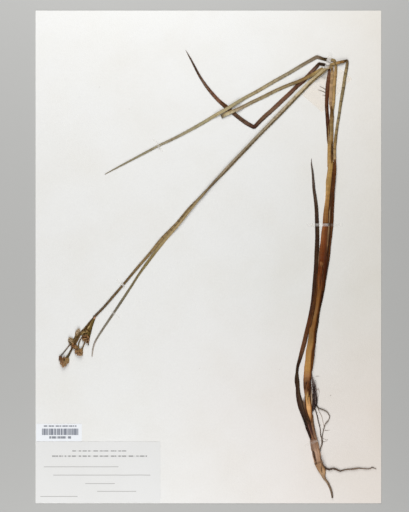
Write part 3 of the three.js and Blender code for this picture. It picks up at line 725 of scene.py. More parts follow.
lay_piece(
    "basal_leaf",
    route=[
        [87.0, 83.1, 0.3], [87.0, 78.5, 1.1], [87.8, 73.0, 1.7], [88.5, 65.4, 2.1], [89.0, 57.9, 2.6],
        [90.1, 50.3, 2.8], [91.0, 42.8, 3.2], [91.6, 29.8, 3.3], [91.9, 16.6, 3.7], [91.4, 1.7, 3.9],
        [91.2, -5.9, 4.1], [90.3, -17.3, 3.9], [89.5, -25.3, 3.7], [88.8, -33.4, 3.7], [88.0, -39.7, 3.6],
        [86.8, -46.3, 3.6], [85.6, -52.7, 3.7], [84.1, -59.1, 3.8], [82.5, -65.6, 3.8], [81.1, -71.8, 3.8],
        [79.8, -76.6, 3.8], [78.5, -81.4, 3.6], [76.7, -87.8, 2.9], [75.3, -92.7, 2.5], [74.8, -97.6, 2.4],
        [74.6, -101.8, 3.5], [74.9, -105.6, 4.1], [75.4, -110.6, 3.4], [76.0, -117.1, 4.3],
        [77.1, -121.7, 5.0], [78.6, -126.8, 5.6], [80.5, -132.4, 5.0, 0.3], [82.1, -137.3, 4.5, 0.9],
        [83.5, -142.1, 4.1, 1], [84.7, -146.7, 3.2, 1], [86.0, -151.7, 2.0, 0.9], [87.1, -155.4, 0.9, 0.8],
    ],
    thickest=0.7,
    tones=[(0, 116, 104, 98), (2, 100, 90, 82), (4, 86, 70, 60), (6, 70, 52, 38), (8, 58, 38, 24),
           (13, 64, 32, 8), (15, 76, 38, 8), (16, 98, 54, 24), (18, 98, 60, 32), (20, 116, 76, 50),
           (21, 98, 66, 44), (22, 58, 36, 20), (24, 42, 24, 10), (26, 56, 36, 20), (29, 72, 50, 36),
           (31, 48, 30, 24), (32, 34, 20, 12), (34, 44, 24, 20), (36, 34, 18, 14)],
    shadow=(42, 24, 12),
    sides=[(0.0, 170), (0.2, 235), (0.45, 255), (0.75, 225, 200, 180), (1.0, 235)],
    slot="dark_leaf",
    veins=0.5,
    ribs=4,
)

# The side sheath. It is a thin, dark orange-brown leaf sheath that lies over the foot of the flowering
# stem and runs down along the stalk's right side.

lay_piece(
    "side_sheath",
    route=[
        [106.7, 82.3, 1.2, 0.95], [106.6, 76.9, 2.8, 0.95], [106.1, 70.9, 3.5, 0.95],
        [105.5, 63.3, 3.6, 0.95], [104.7, 55.7, 3.7, 0.95], [104.6, 48.1, 3.8, 0.3], [104.0, 40.9, 4.2, 0.3],
        [104.0, 33.4, 3.6, 0.3], [103.8, 26.2, 3.2, 0.3], [103.3, 18.6, 2.6, 0.3], [102.2, 9.3, 2.5, 0.3],
        [101.7, 1.7, 2.3, 0.3], [100.6, -5.9, 2.2, 0.3], [99.4, -13.5, 2.0, 0.3], [98.1, -21.1, 2.0, 0.3],
        [96.8, -28.7, 2.4, 0.3], [95.1, -36.3, 2.6, 0.3], [93.7, -43.1, 2.3, 0.3], [92.7, -49.8, 2.0, 0.3],
        [92.3, -55.7, 1.6, 0.3], [91.1, -62.5, 1.5, 0.3], [90.5, -68.4, 1.4, 0.3], [89.9, -74.3, 1.4, 0.3],
        [88.9, -79.8, 1.5, 0.3], [88.1, -86.1, 1.5, 0.2], [87.4, -92.9, 1.2, 0.1], [86.9, -98.4, 0.5, 0.1],
    ],
    thickest=0.5,
    tones=[(0, 109, 62, 18), (2, 92, 48, 10), (5, 79, 37, 6), (8, 88, 46, 12), (11, 92, 52, 15),
           (12, 58, 31, 7), (16, 45, 23, 6), (20, 49, 27, 7), (22, 79, 45, 12), (24, 118, 70, 23),
           (26, 113, 64, 21)],
    shadow=(46, 20, 6),
    sides=[(0.0, 250), (0.5, 255), (1.0, 205)],
    slot="dark_sheath",
    veins=0.7,
)

# The upper part of the stalk. It is golden and ribbed, darker with painted shade where it goes under the
# leaves at its top, and browner down towards the red sheath.

lay_piece(
    "upper_stem",
    route=[
        [103.7, 127.2, 1.7, 0.15], [104.1, 123.6, 2.7], [104.2, 118.6, 3.6], [103.9, 111.5, 3.4],
        [104.0, 104.7, 3.2], [103.6, 97.6, 3.5], [103.2, 90.4, 4.0], [103.1, 83.6, 4.8], [103.2, 78.5, 4.3],
        [102.5, 70.9, 4.4], [101.5, 63.3, 4.7], [101.1, 56.0, 4.1], [100.6, 48.5, 3.8], [100.0, 40.9, 4.8],
        [99.4, 33.4, 5.4], [99.3, 26.0, 5.8],
    ],
    thickest=1.2,
    tones=[(0, 100, 70, 40), (1, 104, 74, 34), (2, 134, 106, 68), (3, 152, 128, 88), (4, 158, 134, 94),
           (6, 176, 140, 84), (8, 190, 156, 98), (9, 190, 154, 94), (11, 198, 158, 100), (12, 204, 158, 100),
           (13, 164, 120, 70), (15, 128, 76, 38)],
    shadow=(112, 66, 20),
    sides=[(0.0, 222, 212, 192), (0.45, 234, 226, 200), (0.7, 255), (1.0, 240, 235, 228)],
    slot="golden_stem",
    veins=0.7,
    around=28,
    ribs=5,
)

# Thin strips along the stalk. They are the dry margins and torn edges of its sheaths, dark strips of
# painted shade in the clefts between its ribs and along the basal leaf's edge, and a pale fleck, and each
# is pressed flat against the stalk.

STALK_STRIPS = {
    "pale_margin": (
        [[95.7, 20.0, 0.2, 0.3], [94.8, 12.0, 0.7, 0.3], [93.8, 4.0, 0.9, 0.3], [93.1, -4.0, 0.8, 0.5],
         [92.9, -10.0, 0.2, 0.5]],
        [(0, 196, 164, 132), (2, 168, 132, 100), (4, 130, 90, 58)],
    ),
    # Painted shadow along the basal leaf's edge, where it meets the stalk.
    "inner_shadow": (
        [[91.6, -14.0, 0.3, 0.9], [91.2, -27.9, 1.4, 1.5], [90.4, -33.8, 1.5, 1.6], [89.3, -42.6, 1.7, 1.6],
         [87.5, -51.5, 1.7, 1.5], [86.5, -57.5, 1.5, 1.3], [85.6, -62.0, 0.3, 0.9]],
        [(0, 92, 50, 18), (3, 84, 42, 8), (6, 80, 42, 12)],
    ),
    # The two clefts are dark strips of painted shade between the stalk's ribs.
    "dark_cleft": (
        [[104.4, 97.4, 0.5, 0.95], [104.3, 94.6, 1.6, 1.0], [104.2, 88.6, 1.9, 1.0], [104.1, 82.4, 1.5, 1.1],
         [103.9, 79.0, 0.4, 1.1]],
        [(0, 96, 66, 30), (2, 74, 46, 16), (4, 120, 80, 40)],
    ),
    "lower_cleft": (
        [[105.6, 80.2, 0.3, 0.9], [105.1, 73.0, 0.7, 0.9], [104.2, 64.4, 0.8, 1.0], [103.4, 56.4, 1.1, 1.0],
         [103.0, 50.0, 1.7, 1.0], [102.7, 43.4, 2.4, 1.05], [102.4, 36.0, 2.8, 1.1], [102.1, 28.6, 2.6, 1.15],
         [101.8, 20.4, 2.2, 1.2], [101.1, 10.4, 1.8, 1.2], [100.2, 1.6, 1.0, 1.2]],
        [(0, 92, 62, 34), (2, 84, 52, 22), (4, 72, 38, 10), (6, 76, 38, 14), (10, 60, 30, 12)],
    ),
    "pale_fleck": (
        [[102.8, 42.4, 0.3, 1.4], [102.3, 38.0, 1.0, 1.4], [102.1, 33.0, 1.2, 1.45], [101.9, 28.6, 0.9, 1.5]],
        [(0, 130, 104, 76), (1, 152, 124, 92), (3, 150, 116, 80)],
    ),
    "tan_strip": (
        [[101.6, 26.2, 1.2, 1.4], [101.3, 21.4, 1.4, 1.45], [100.9, 15.6, 1.2, 1.45], [100.4, 10.0, 1.0, 1.4],
         [99.7, 3.0, 0.3, 1.3]],
        [(0, 158, 124, 88), (1, 150, 116, 80), (3, 142, 106, 72), (4, 100, 60, 32)],
    ),
    "golden_edge": (
        [[101.6, 112.8, 0.3, 0.3], [101.4, 104.0, 0.9, 0.4], [101.1, 94.0, 1.1, 0.4], [100.9, 84.0, 1.0, 0.3],
         [100.6, 76.0, 0.4, 0.3]],
        [(0, 160, 130, 82), (2, 196, 158, 96), (4, 186, 142, 80)],
    ),
}
for strip_name, (route, tones) in STALK_STRIPS.items():
    lay_piece(
        strip_name, route, 0.3, tones, (58, 32, 12), [(0.0, 215), (0.5, 255), (1.0, 220)], "golden_stem",
        around=14, ribs=2, nodes=(),
    )

# The red-brown sheath round the middle of the stalk. It is stiff and finely veined, darker towards its
# right edge, partly with painted shade, and clasps the stalk closely.

lay_piece(
    "stem_sheath",
    route=[
        [99.4, 27.6, 5.5], [98.5, 20.3, 6.5], [98.0, 12.7, 6.9], [97.3, 5.1, 7.1], [96.7, -5.9, 7.1],
        [95.7, -13.5, 6.9], [94.9, -21.1, 6.9], [94.0, -28.4, 6.6],
    ],
    thickest=1.5,
    tones=[(0, 150, 80, 34), (1, 134, 76, 33), (2, 130, 68, 27), (3, 118, 60, 22), (4, 112, 54, 16),
           (5, 114, 58, 16), (6, 124, 68, 22), (7, 138, 85, 32)],
    shadow=(64, 26, 10),
    sides=[(0.0, 165, 150, 130), (0.2, 175, 160, 145), (0.38, 205, 190, 175), (0.55, 240, 225, 205),
           (0.85, 255), (1.0, 235, 205, 170)],
    slot="red_sheath",
    veins=0.9,
    around=30,
    ribs=6,
)

# The lower part of the stalk. It is thicker and golden, darker along its right side with painted shade,
# scarred by old joints, and orange just above the foot.

lay_piece(
    "lower_stem",
    route=[
        [93.7, -26.9, 6.2], [92.1, -36.3, 5.9], [91.0, -43.1, 5.6], [89.8, -49.8, 5.4], [88.8, -55.7, 6.0],
        [87.6, -62.5, 5.3], [87.2, -68.4, 5.8], [86.5, -74.3, 6.2], [85.3, -79.8, 5.9], [84.8, -86.1, 5.8],
        [84.2, -92.9, 6.4], [83.8, -100.5, 6.6], [83.2, -106.8, 6.2], [83.3, -113.2, 5.2],
        [83.9, -118.2, 4.8], [84.4, -122.5, 4.7, 0.1], [85.0, -126.7, 5.1, 0.2], [85.5, -130.9, 4.0, 0.5],
        [86.2, -134.6, 2.7, 0.9], [86.5, -137.6, 1.4, 1.1], [87.0, -139.8, 0.5, 1.2],
    ],
    thickest=1.7,
    tones=[(0, 112, 70, 30), (1, 136, 90, 42), (3, 146, 108, 64), (4, 142, 98, 50), (6, 142, 106, 58),
           (8, 180, 136, 76), (10, 196, 148, 82), (11, 168, 118, 74), (12, 88, 52, 28), (13, 132, 90, 56),
           (14, 194, 150, 94), (15, 218, 170, 112), (16, 234, 182, 124), (17, 224, 172, 114),
           (18, 186, 138, 88), (19, 132, 90, 56), (20, 94, 60, 34)],
    shadow=(120, 66, 22),
    sides=[(0.0, 108, 78, 48), (0.1, 124, 92, 60), (0.25, 222, 200, 174), (0.38, 255), (0.85, 255),
           (1.0, 214, 188, 158)],
    slot="golden_stem",
    veins=0.45,
    around=30,
    ribs=6,
    wander=0.05,
)

# The scars and flecks of old nodes. They are thin and rough, and are laid over the red sheath and the
# lower stem. Each has its place in the scars' range of tones, from dark to pale, and its route.

NODE_SCARS = [
    (0.0, [[81.6, -102.6, 0.3, 1.0], [82.2, -106.4, 1.8, 1.3], [81.6, -110.4, 1.4, 1.2],
           [82.2, -113.8, 0.3, 1.1]]),
    (0.02, [[86.2, -102.8, 0.4, 1.4], [85.8, -106.0, 1.7, 1.45], [86.2, -110.0, 1.7, 1.4],
            [85.8, -115.4, 1.2, 1.3], [86.4, -122.6, 0.3, 1.1]]),
    (0.05, [[83.6, -110.6, 0.3, 1.6], [84.2, -111.6, 0.9, 1.65], [84.8, -112.8, 0.3, 1.6]]),
    (0.3, [[84.6, -113.2, 0.3, 1.6], [84.9, -115.6, 0.9, 1.6], [84.4, -118.0, 0.3, 1.6]]),
    (0.15, [[81.6, -115.4, 0.3, 1.0], [81.4, -119.2, 1.1, 1.1], [81.9, -123.6, 0.9, 1.1],
            [82.6, -127.6, 0.3, 1.0]]),
    (0.5, [[83.8, -104.8, 0.3, 1.65], [83.7, -107.2, 1.2, 1.68], [83.4, -110.4, 0.9, 1.65],
           [83.7, -113.4, 0.3, 1.6]]),
    (0.95, [[83.4, -113.6, 0.3, 1.6], [83.8, -116.8, 1.1, 1.65], [83.6, -120.6, 0.9, 1.65],
            [84.2, -124.4, 0.3, 1.6]]),
    (0.3, [[90.2, -64.6, 0.3, 1.3], [89.9, -72.0, 0.8, 1.35], [89.0, -84.0, 0.9, 1.3],
           [87.6, -96.0, 0.5, 1.3]]),
    (0.45, [[88.6, -38.0, 0.3, 1.3], [87.9, -46.0, 0.9, 1.35], [86.9, -54.0, 0.5, 1.3]]),
    (0.62, [[94.1, -3.8, 0.4, 1.3], [94.9, -5.0, 2.1, 1.35], [95.4, -6.8, 2.2, 1.35],
            [95.4, -9.0, 0.4, 1.3]]),
    (0.5, [[95.8, -3.6, 0.3, 1.35], [96.6, -5.6, 1.2, 1.35], [96.1, -7.8, 0.3, 1.35]]),
    (0.82, [[95.2, -5.8, 0.3, 1.4], [95.9, -6.4, 0.9, 1.42], [96.2, -7.4, 0.3, 1.4]]),
    (0.2, [[96.2, -9.4, 0.3, 1.3], [96.8, -12.4, 1.3, 1.35], [96.2, -16.6, 1.1, 1.35],
           [96.4, -21.0, 0.3, 1.3]]),
    (0.5, [[94.4, -12.6, 0.3, 1.3], [94.0, -17.0, 1.0, 1.35], [93.8, -23.0, 0.9, 1.3],
           [94.0, -27.0, 0.3, 1.3]]),
]
scars = bmesh.new()
for number, (lot, route) in enumerate(NODE_SCARS):
    lay_strand(scars, route, 0.3, around=14, ribs=2, step=0.7, wander=0.25, seed=number, lot=lot)
scar_tissue = tissue_finish(
    "stalk_scar_tissue", [(0.0, 62, 32, 12), (0.3, 86, 48, 18), (0.6, 140, 84, 40), (1.0, 214, 172, 108)],
    (48, 24, 8), veins=0.9, joints=0.3, seed=12.0, by="lot",
)
set_strands(scars, "stalk_scars", scar_tissue, "golden_stem")

# The sheath at the foot. It is purple-brown and papery, and splits round the base of the stalk, where
# that joins the rhizome.

lay_piece(
    "base_sheath",
    route=[
        [82.0, -132.4, 2.6], [82.5, -136.9, 4.6], [84.0, -140.2, 5.8], [84.8, -143.6, 5.9],
        [86.2, -147.6, 5.3], [87.7, -151.2, 5.7], [89.5, -156.4, 5.0],
    ],
    thickest=1.6,
    tones=[(0, 32, 18, 14), (1, 50, 28, 16), (2, 100, 62, 46), (3, 112, 72, 62), (4, 106, 68, 56),
           (5, 130, 90, 66), (6, 160, 108, 80)],
    shadow=(42, 22, 20),
    sides=[(0.0, 120), (0.25, 190), (0.5, 255), (0.8, 255, 240, 225), (1.0, 215, 195, 170)],
    slot="foot_sheath",
    veins=0.9,
    around=30,
    ribs=5,
)

# The edges of the sheaths at the foot. They are thin and papery, curl up a little as they dried, and
# are pale where they have worn through.

FOOT_STRIPS = {
    "inner_edge": (
        [[79.9, -119.6, 0.4, 0.3], [80.9, -124.2, 1.3, 0.5], [81.8, -128.4, 1.8, 0.8],
         [83.5, -133.4, 2.9, 0.9], [84.6, -138.0, 2.2, 1.0], [85.2, -142.4, 0.5, 1.1]],
        [(0, 150, 122, 94), (1, 130, 100, 74), (2, 84, 54, 32), (3, 62, 34, 14), (4, 66, 40, 20),
         (5, 70, 42, 26)],
        [(0.0, 235), (1.0, 255)],
    ),
    "pale_edge": (
        [[86.2, -107.0, 0.4, 0.3], [86.6, -112.0, 1.2, 0.3], [87.0, -118.0, 1.3, 0.3],
         [87.3, -123.6, 1.0, 0.3], [87.6, -128.6, 0.4, 0.3]],
        [(0, 176, 150, 126), (2, 200, 172, 144), (4, 176, 146, 112)],
        [(0.0, 235), (1.0, 245)],
    ),
    "right_strip": (
        [[87.0, -131.6, 1.1, 0.8], [87.4, -136.4, 2.0, 0.9], [87.5, -139.4, 2.0, 1.0],
         [88.3, -144.4, 2.2, 1.1], [89.9, -150.6, 2.3, 1.1], [91.6, -156.4, 2.1, 1.1],
         [92.9, -161.4, 1.2, 1.6], [93.6, -165.2, 0.3, 2.0]],
        [(0, 150, 100, 54), (1, 128, 88, 56), (4, 148, 112, 86), (6, 176, 136, 108), (7, 174, 134, 104)],
        [(0.0, 190), (0.4, 255), (1.0, 235)],
    ),
    "worn_edge": (
        [[88.3, -133.6, 0.4, 0.3], [88.7, -139.8, 0.8, 0.4], [89.9, -146.4, 0.8, 0.4],
         [91.4, -152.6, 0.7, 0.4], [92.8, -156.6, 0.3, 0.4]],
        [(0, 168, 142, 112), (2, 182, 160, 136), (4, 170, 144, 118)],
        [(0.0, 235), (1.0, 215)],
    ),
    "dark_flank": (
        [[86.6, -155.0, 0.4, 1.2], [87.5, -158.2, 1.4, 1.5], [88.4, -162.0, 1.2, 1.7],
         [89.0, -165.0, 0.3, 1.7]],
        [(0, 120, 96, 84), (2, 142, 116, 100), (3, 130, 100, 84)],
        [(0.0, 215), (1.0, 235)],
    ),
}
for strip_name, (route, tones, sides) in FOOT_STRIPS.items():
    lay_piece(
        strip_name, route, 0.5, tones, (74, 44, 30), sides, "foot_sheath", veins=0.8, around=16, ribs=2, nodes=(),
    )

# The rhizome. It is the thick, pinkish brown underground stem, woody and knobbly, and it carries on
# from the stalk's foot to the end root.

lay_piece(
    "rhizome",
    route=[
        [88.2, -153.8, 5.2], [89.7, -160.5, 6.8], [90.9, -164.7, 7.0], [91.8, -170.2, 6.6],
        [94.1, -176.5, 6.8], [96.3, -181.2, 5.6], [97.3, -185.4, 3.0], [98.7, -188.2, 2.2],
    ],
    thickest=3.2,
    tones=[(0, 152, 118, 98), (1, 180, 146, 122), (2, 206, 170, 144), (3, 200, 162, 134), (4, 176, 138, 102),
           (5, 198, 162, 124), (6, 172, 142, 112), (7, 148, 130, 110)],
    shadow=(96, 64, 44),
    sides=[(0.0, 228, 216, 200), (0.2, 248, 238, 226), (0.5, 255), (0.8, 240, 236, 232),
           (1.0, 198, 196, 198)],
    slot="rhizome_skin",
    veins=0.7,
    around=32,
    ribs=5,
    depth=0.22,
    wander=0.09,
)

# The scars on the rhizome. They are dark and rough, where its scales and older roots have broken off,
# and stand up a little over its skin. The right one also carries painted shade along the rhizome's right
# flank.

SCARS = {
    "left_scar": (
        [[87.6, -161.4, 0.4, 1.9], [88.3, -164.6, 1.4, 2.4], [89.2, -168.2, 1.9, 2.6],
         [90.1, -171.4, 1.2, 2.6], [90.9, -174.0, 0.3, 2.5]],
        [(0, 132, 104, 86), (2, 84, 58, 42), (3, 104, 76, 56)],
    ),
    # Partly a scar, partly painted shade along the rhizome's right flank.
    "right_scar": (
        [[93.8, -168.2, 0.3, 2.2], [94.8, -171.6, 1.3, 2.4], [96.1, -174.6, 1.7, 2.2],
         [97.5, -177.2, 1.5, 1.6], [98.8, -178.6, 0.8, 0.6]],
        [(0, 160, 126, 100), (2, 132, 102, 78), (4, 96, 72, 52)],
    ),
    "low_scar": (
        [[95.4, -175.8, 0.3, 2.7], [95.0, -177.8, 0.7, 2.75], [95.2, -180.0, 0.8, 2.7],
         [96.0, -182.0, 0.3, 2.3]],
        [(0, 150, 116, 86), (2, 128, 96, 68), (3, 150, 118, 90)],
    ),
}
for scar_name, (route, tones) in SCARS.items():
    lay_piece(
        scar_name, route, 0.35, tones, (72, 48, 34), [(0.0, 220), (0.5, 255), (1.0, 220)], "rhizome_skin",
        veins=0.9, wander=0.3, nodes=(),
    )

# The roots. They are stiff grey-brown threads, thicker near the rhizome, with fine side hairs, and one
# of them loops out to the right of the foot. Each has its near colour, its far one and its route.

ROOTS = {
    "end_root": ((160, 132, 104), (102, 86, 72), [
        [97.8, -186.6, 2.4], [100.0, -189.7, 1.8], [101.2, -191.6, 1.8], [102.7, -195.0, 1.8],
        [103.8, -197.9, 1.7], [104.7, -203.4, 1.6],
    ]),
    "side_root": ((76, 58, 44), (146, 122, 104), [
        [97.9, -177.2, 1.9, 0.4], [99.5, -178.7, 1.7], [102.1, -179.5, 1.4], [104.8, -178.8, 1.3],
        [107.6, -179.3, 1.4], [111.2, -180.9, 1.1], [115.4, -179.7, 1.0], [120.4, -179.2, 1.0],
        [123.1, -179.0, 1.2], [126.8, -178.4, 0.9], [130.9, -178.7, 0.8], [136.0, -178.8, 0.7],
        [138.3, -177.7, 0.7], [141.7, -179.0, 0.4],
    ]),
    "hanging_root": ((96, 78, 64), (124, 108, 94), [
        [89.6, -125.9, 0.8, 0.2], [89.9, -127.9, 0.8], [91.4, -132.6, 0.8], [92.7, -138.5, 0.8],
        [94.5, -146.5, 0.8], [94.6, -149.6, 0.8], [95.8, -153.7, 1.1], [96.0, -156.9, 1.3],
        [95.3, -160.0, 0.9], [94.2, -162.8, 0.9], [93.6, -164.6, 0.7, 0.3],
    ]),
    "loop_root": ((96, 84, 72), (160, 146, 134), [
        [90.6, -125.2, 0.8, 0.2], [91.9, -126.4, 0.9], [93.5, -128.0, 0.8], [96.5, -128.9, 0.8],
        [100.2, -130.8, 0.8], [102.5, -134.5, 0.7], [101.4, -138.0, 0.7], [98.8, -140.8, 0.8],
        [97.7, -144.2, 0.8], [96.7, -148.1, 0.7], [96.0, -153.1, 0.7],
    ]),
}
ROOT = 0.75
HAIR = {"ratio": 0.6, "around": 5, "ribs": 0, "step": 0.5, "wander": 0.1}
HAIR_SPACING = 1.6
HAIR_CHANCE = 0.2
HAIR_WIDTH = 0.14
HAIR_STEPS = 6
HAIR_LIFT = 0.04
HAIR_TAPER = 0.75
HAIR_WAVER = 0.5


def hair_route(start, heading, length, width, bend, seed):
    """A short wandering route for a hair or thread."""
    route = []
    at = Vector(start)
    for i in range(HAIR_STEPS + 1):
        route.append([at.x, at.y, width * (1 - HAIR_TAPER * i / HAIR_STEPS), HAIR_LIFT])
        heading += bend / HAIR_STEPS + HAIR_WAVER * noise.noise((seed * 1.3, i * 0.7, 2.2))
        at = at + Vector((math.cos(heading), math.sin(heading))) * length / HAIR_STEPS
    return route


for root_name, (near, far, route) in ROOTS.items():
    root_random = random.Random(root_name)
    root = bmesh.new()
    number = len(bpy.data.materials)
    lay_strand(root, route, 1.0, ROOT, around=12, ribs=0, step=0.7, wander=0.12, seed=number)
    for middle, half, _ in walk_route(route, HAIR_SPACING)[2:-1]:
        if root_random.random() < HAIR_CHANCE:
            side = root_random.choice((-1, 1))
            out = math.atan2(half.y * side, half.x * side) + root_random.uniform(-0.7, 0.7)
            length, bend = root_random.uniform(0.5, 1.5), root_random.uniform(-1, 1)
            hair = hair_route((middle + half * side * 0.8).xy, out, length, HAIR_WIDTH, bend, number)
            lay_strand(root, hair, HAIR_WIDTH, **HAIR, seed=number)
    root_skin = tissue_finish(
        f"{root_name}_skin", [(0.0, *near), (1.0, *far)], (46, 34, 28), veins=0.7, joints=0.3, seed=number * 1.3,
        depth=0.0002,
    )
    set_strands(root, f"{root_name}_threads", root_skin, "root_skin", root_name)

# The root tuft beside the foot of the stalk. Old leaf fibres and fine roots are matted together, dark at
# the heart and greyer outside, with a few loose ends to the right.

TUFT_LINE = [
    [87.2, -100.6, 0.8], [88.3, -105.2, 1.8], [89.2, -110.6, 2.6], [89.7, -115.4, 3.2], [89.8, -120.2, 3.3],
    [89.5, -124.7, 3.0], [88.6, -127.5, 1.9], [87.4, -130.8, 0.6],
]
TUFT_FIBRES = 66
TUFT_LANES = (-0.58, 0.6)
TUFT_ENDS = 24
TUFT_ENDS_SEED = 80
LOOSE_LOOP = [
    [91.2, -112.0, 0.25, 0.3], [92.7, -111.2, 0.25, 0.1], [93.6, -113.4, 0.25], [93.1, -116.6, 0.25],
    [92.0, -119.4, 0.2, 0.1], [91.0, -121.6, 0.2, 0.2],
]

tuft_random = random.Random(11)
pick = tuft_random.uniform
tuft = bmesh.new()
heart = [[x + 0.2, y, width * 0.3] for x, y, width in TUFT_LINE[3:]]
lay_strand(tuft, heart, 0.5, 0.3, around=14, depth=0.5, step=0.8, wander=0.35, seed=3, lot=0.0)
for number in range(TUFT_FIBRES):
    first = tuft_random.choice((0, 1, 2, 2, 3, 3, 4))
    last = min(len(TUFT_LINE), first + tuft_random.randrange(2, 5))
    lane = pick(-0.55, 0.5)
    fibre = []
    for x, y, width in TUFT_LINE[first:last + 1]:
        lane = max(TUFT_LANES[0], min(TUFT_LANES[1], lane + pick(-0.5, 0.5)))
        fibre.append([x + lane * width, y + pick(-1.4, 1.4), pick(0.18, 0.4), pick(0.1, 1.2)])
    lot = min(1.0, tuft_random.random() * (1.24 - 0.22 * first))
    lay_strand(tuft, fibre, 0.4, 0.9, around=6, ribs=0, step=0.8, wander=0.1, seed=number, lot=lot)
for number in range(TUFT_ENDS):
    y = pick(-124, -103)
    start = (90.0 + pick(-0.9, 0.6), y)
    loose_end = hair_route(start, pick(-1.9, 0.5), pick(1.4, 3.2), 0.18, pick(-2.2, -0.4), number * 3)
    lay_strand(tuft, loose_end, 0.2, **{**HAIR, "ratio": 0.8}, seed=number + TUFT_ENDS_SEED, lot=pick(0.5, 1))
lay_strand(tuft, LOOSE_LOOP, 0.3, 0.8, around=6, ribs=0, step=0.6, wander=0.15, seed=7, lot=1.0)
tuft_skin = tissue_finish(
    "tuft_skin", [(0.0, 34, 20, 18), (0.45, 66, 48, 44), (0.75, 112, 94, 90), (1.0, 188, 172, 164)],
    (40, 26, 24), joints=0.2, seed=4.0, depth=0.0002, by="lot",
)
set_strands(tuft, "root_tuft_threads", tuft_skin, "root_skin", "root_tuft")

# Faint rootlets near the tuft and the foot. They are thin and pale, broke off when the plant was
# lifted, and lie flat on the paper.

FAINT_ROOTS = [
    [[91.9, -127.0, 0.5, 0.03], [93.6, -130.6, 0.5, 0.03], [95.6, -134.6, 0.45, 0.03], [96.7, -139.6, 0.4, 0.03],
     [97.6, -144.4, 0.3, 0.03]],
    hair_route((98.2, -146.4), -0.4, 4.4, 0.3, 0.9, 9),
    hair_route((96.4, -153.0), -0.4, 4.6, 0.26, 0.5, 21),
    hair_route((96.2, -156.0), -0.2, 4.4, 0.24, 0.3, 33),
    hair_route((90.6, -101.0), 0.5, 3.0, 0.22, -0.6, 14),
]
faint_roots = bmesh.new()
for number, route in enumerate(FAINT_ROOTS):
    lay_strand(faint_roots, route, 0.3, 0.6, around=8, ribs=0, step=0.7, wander=0.2, seed=number)
faint_skin = tissue_finish(
    "faint_root_skin", [(0.0, 166, 152, 138), (1.0, 200, 186, 176)], (140, 122, 110), veins=0.5, joints=0.2,
    seed=6.0, depth=0.0001,
)
set_strands(faint_roots, "faint_root_threads", faint_skin, "root_skin")

# Loose fibres that stand out to the left from the withered leaf, where it lies on the film. They are
# split off its edge. Each is given by its start, heading, length and width.

LOOSE_FIBRES = [((99.6, 138.2), 2.6, 7.6, 0.6), ((99.8, 140.9), 2.56, 7.0, 0.52), ((98.8, 136.0), 2.7, 2.8, 0.3)]
loose = bmesh.new()
for number, fibre in enumerate(LOOSE_FIBRES):
    lay_strand(
        loose, hair_route(*fibre, 0.05, number), 0.3, 0.6, around=6, ribs=0, step=0.6, wander=0.1, seed=number
    )
loose_skin = tissue_finish(
    "loose_fibre_skin", [(0.0, 84, 64, 48), (1.0, 120, 102, 84)], (60, 44, 32), veins=0.5, joints=0.2, seed=9.0,
    depth=0.0001,
)
set_strands(loose, "loose_fibres", loose_skin, "dead_leaf")

# The bract. It is a fan of narrow, stiff green-brown blades that opens from the flowering stem's last
# joint, dark along its left edge and olive along its right. Each blade has its place in the bract's
# range of tones and its route.

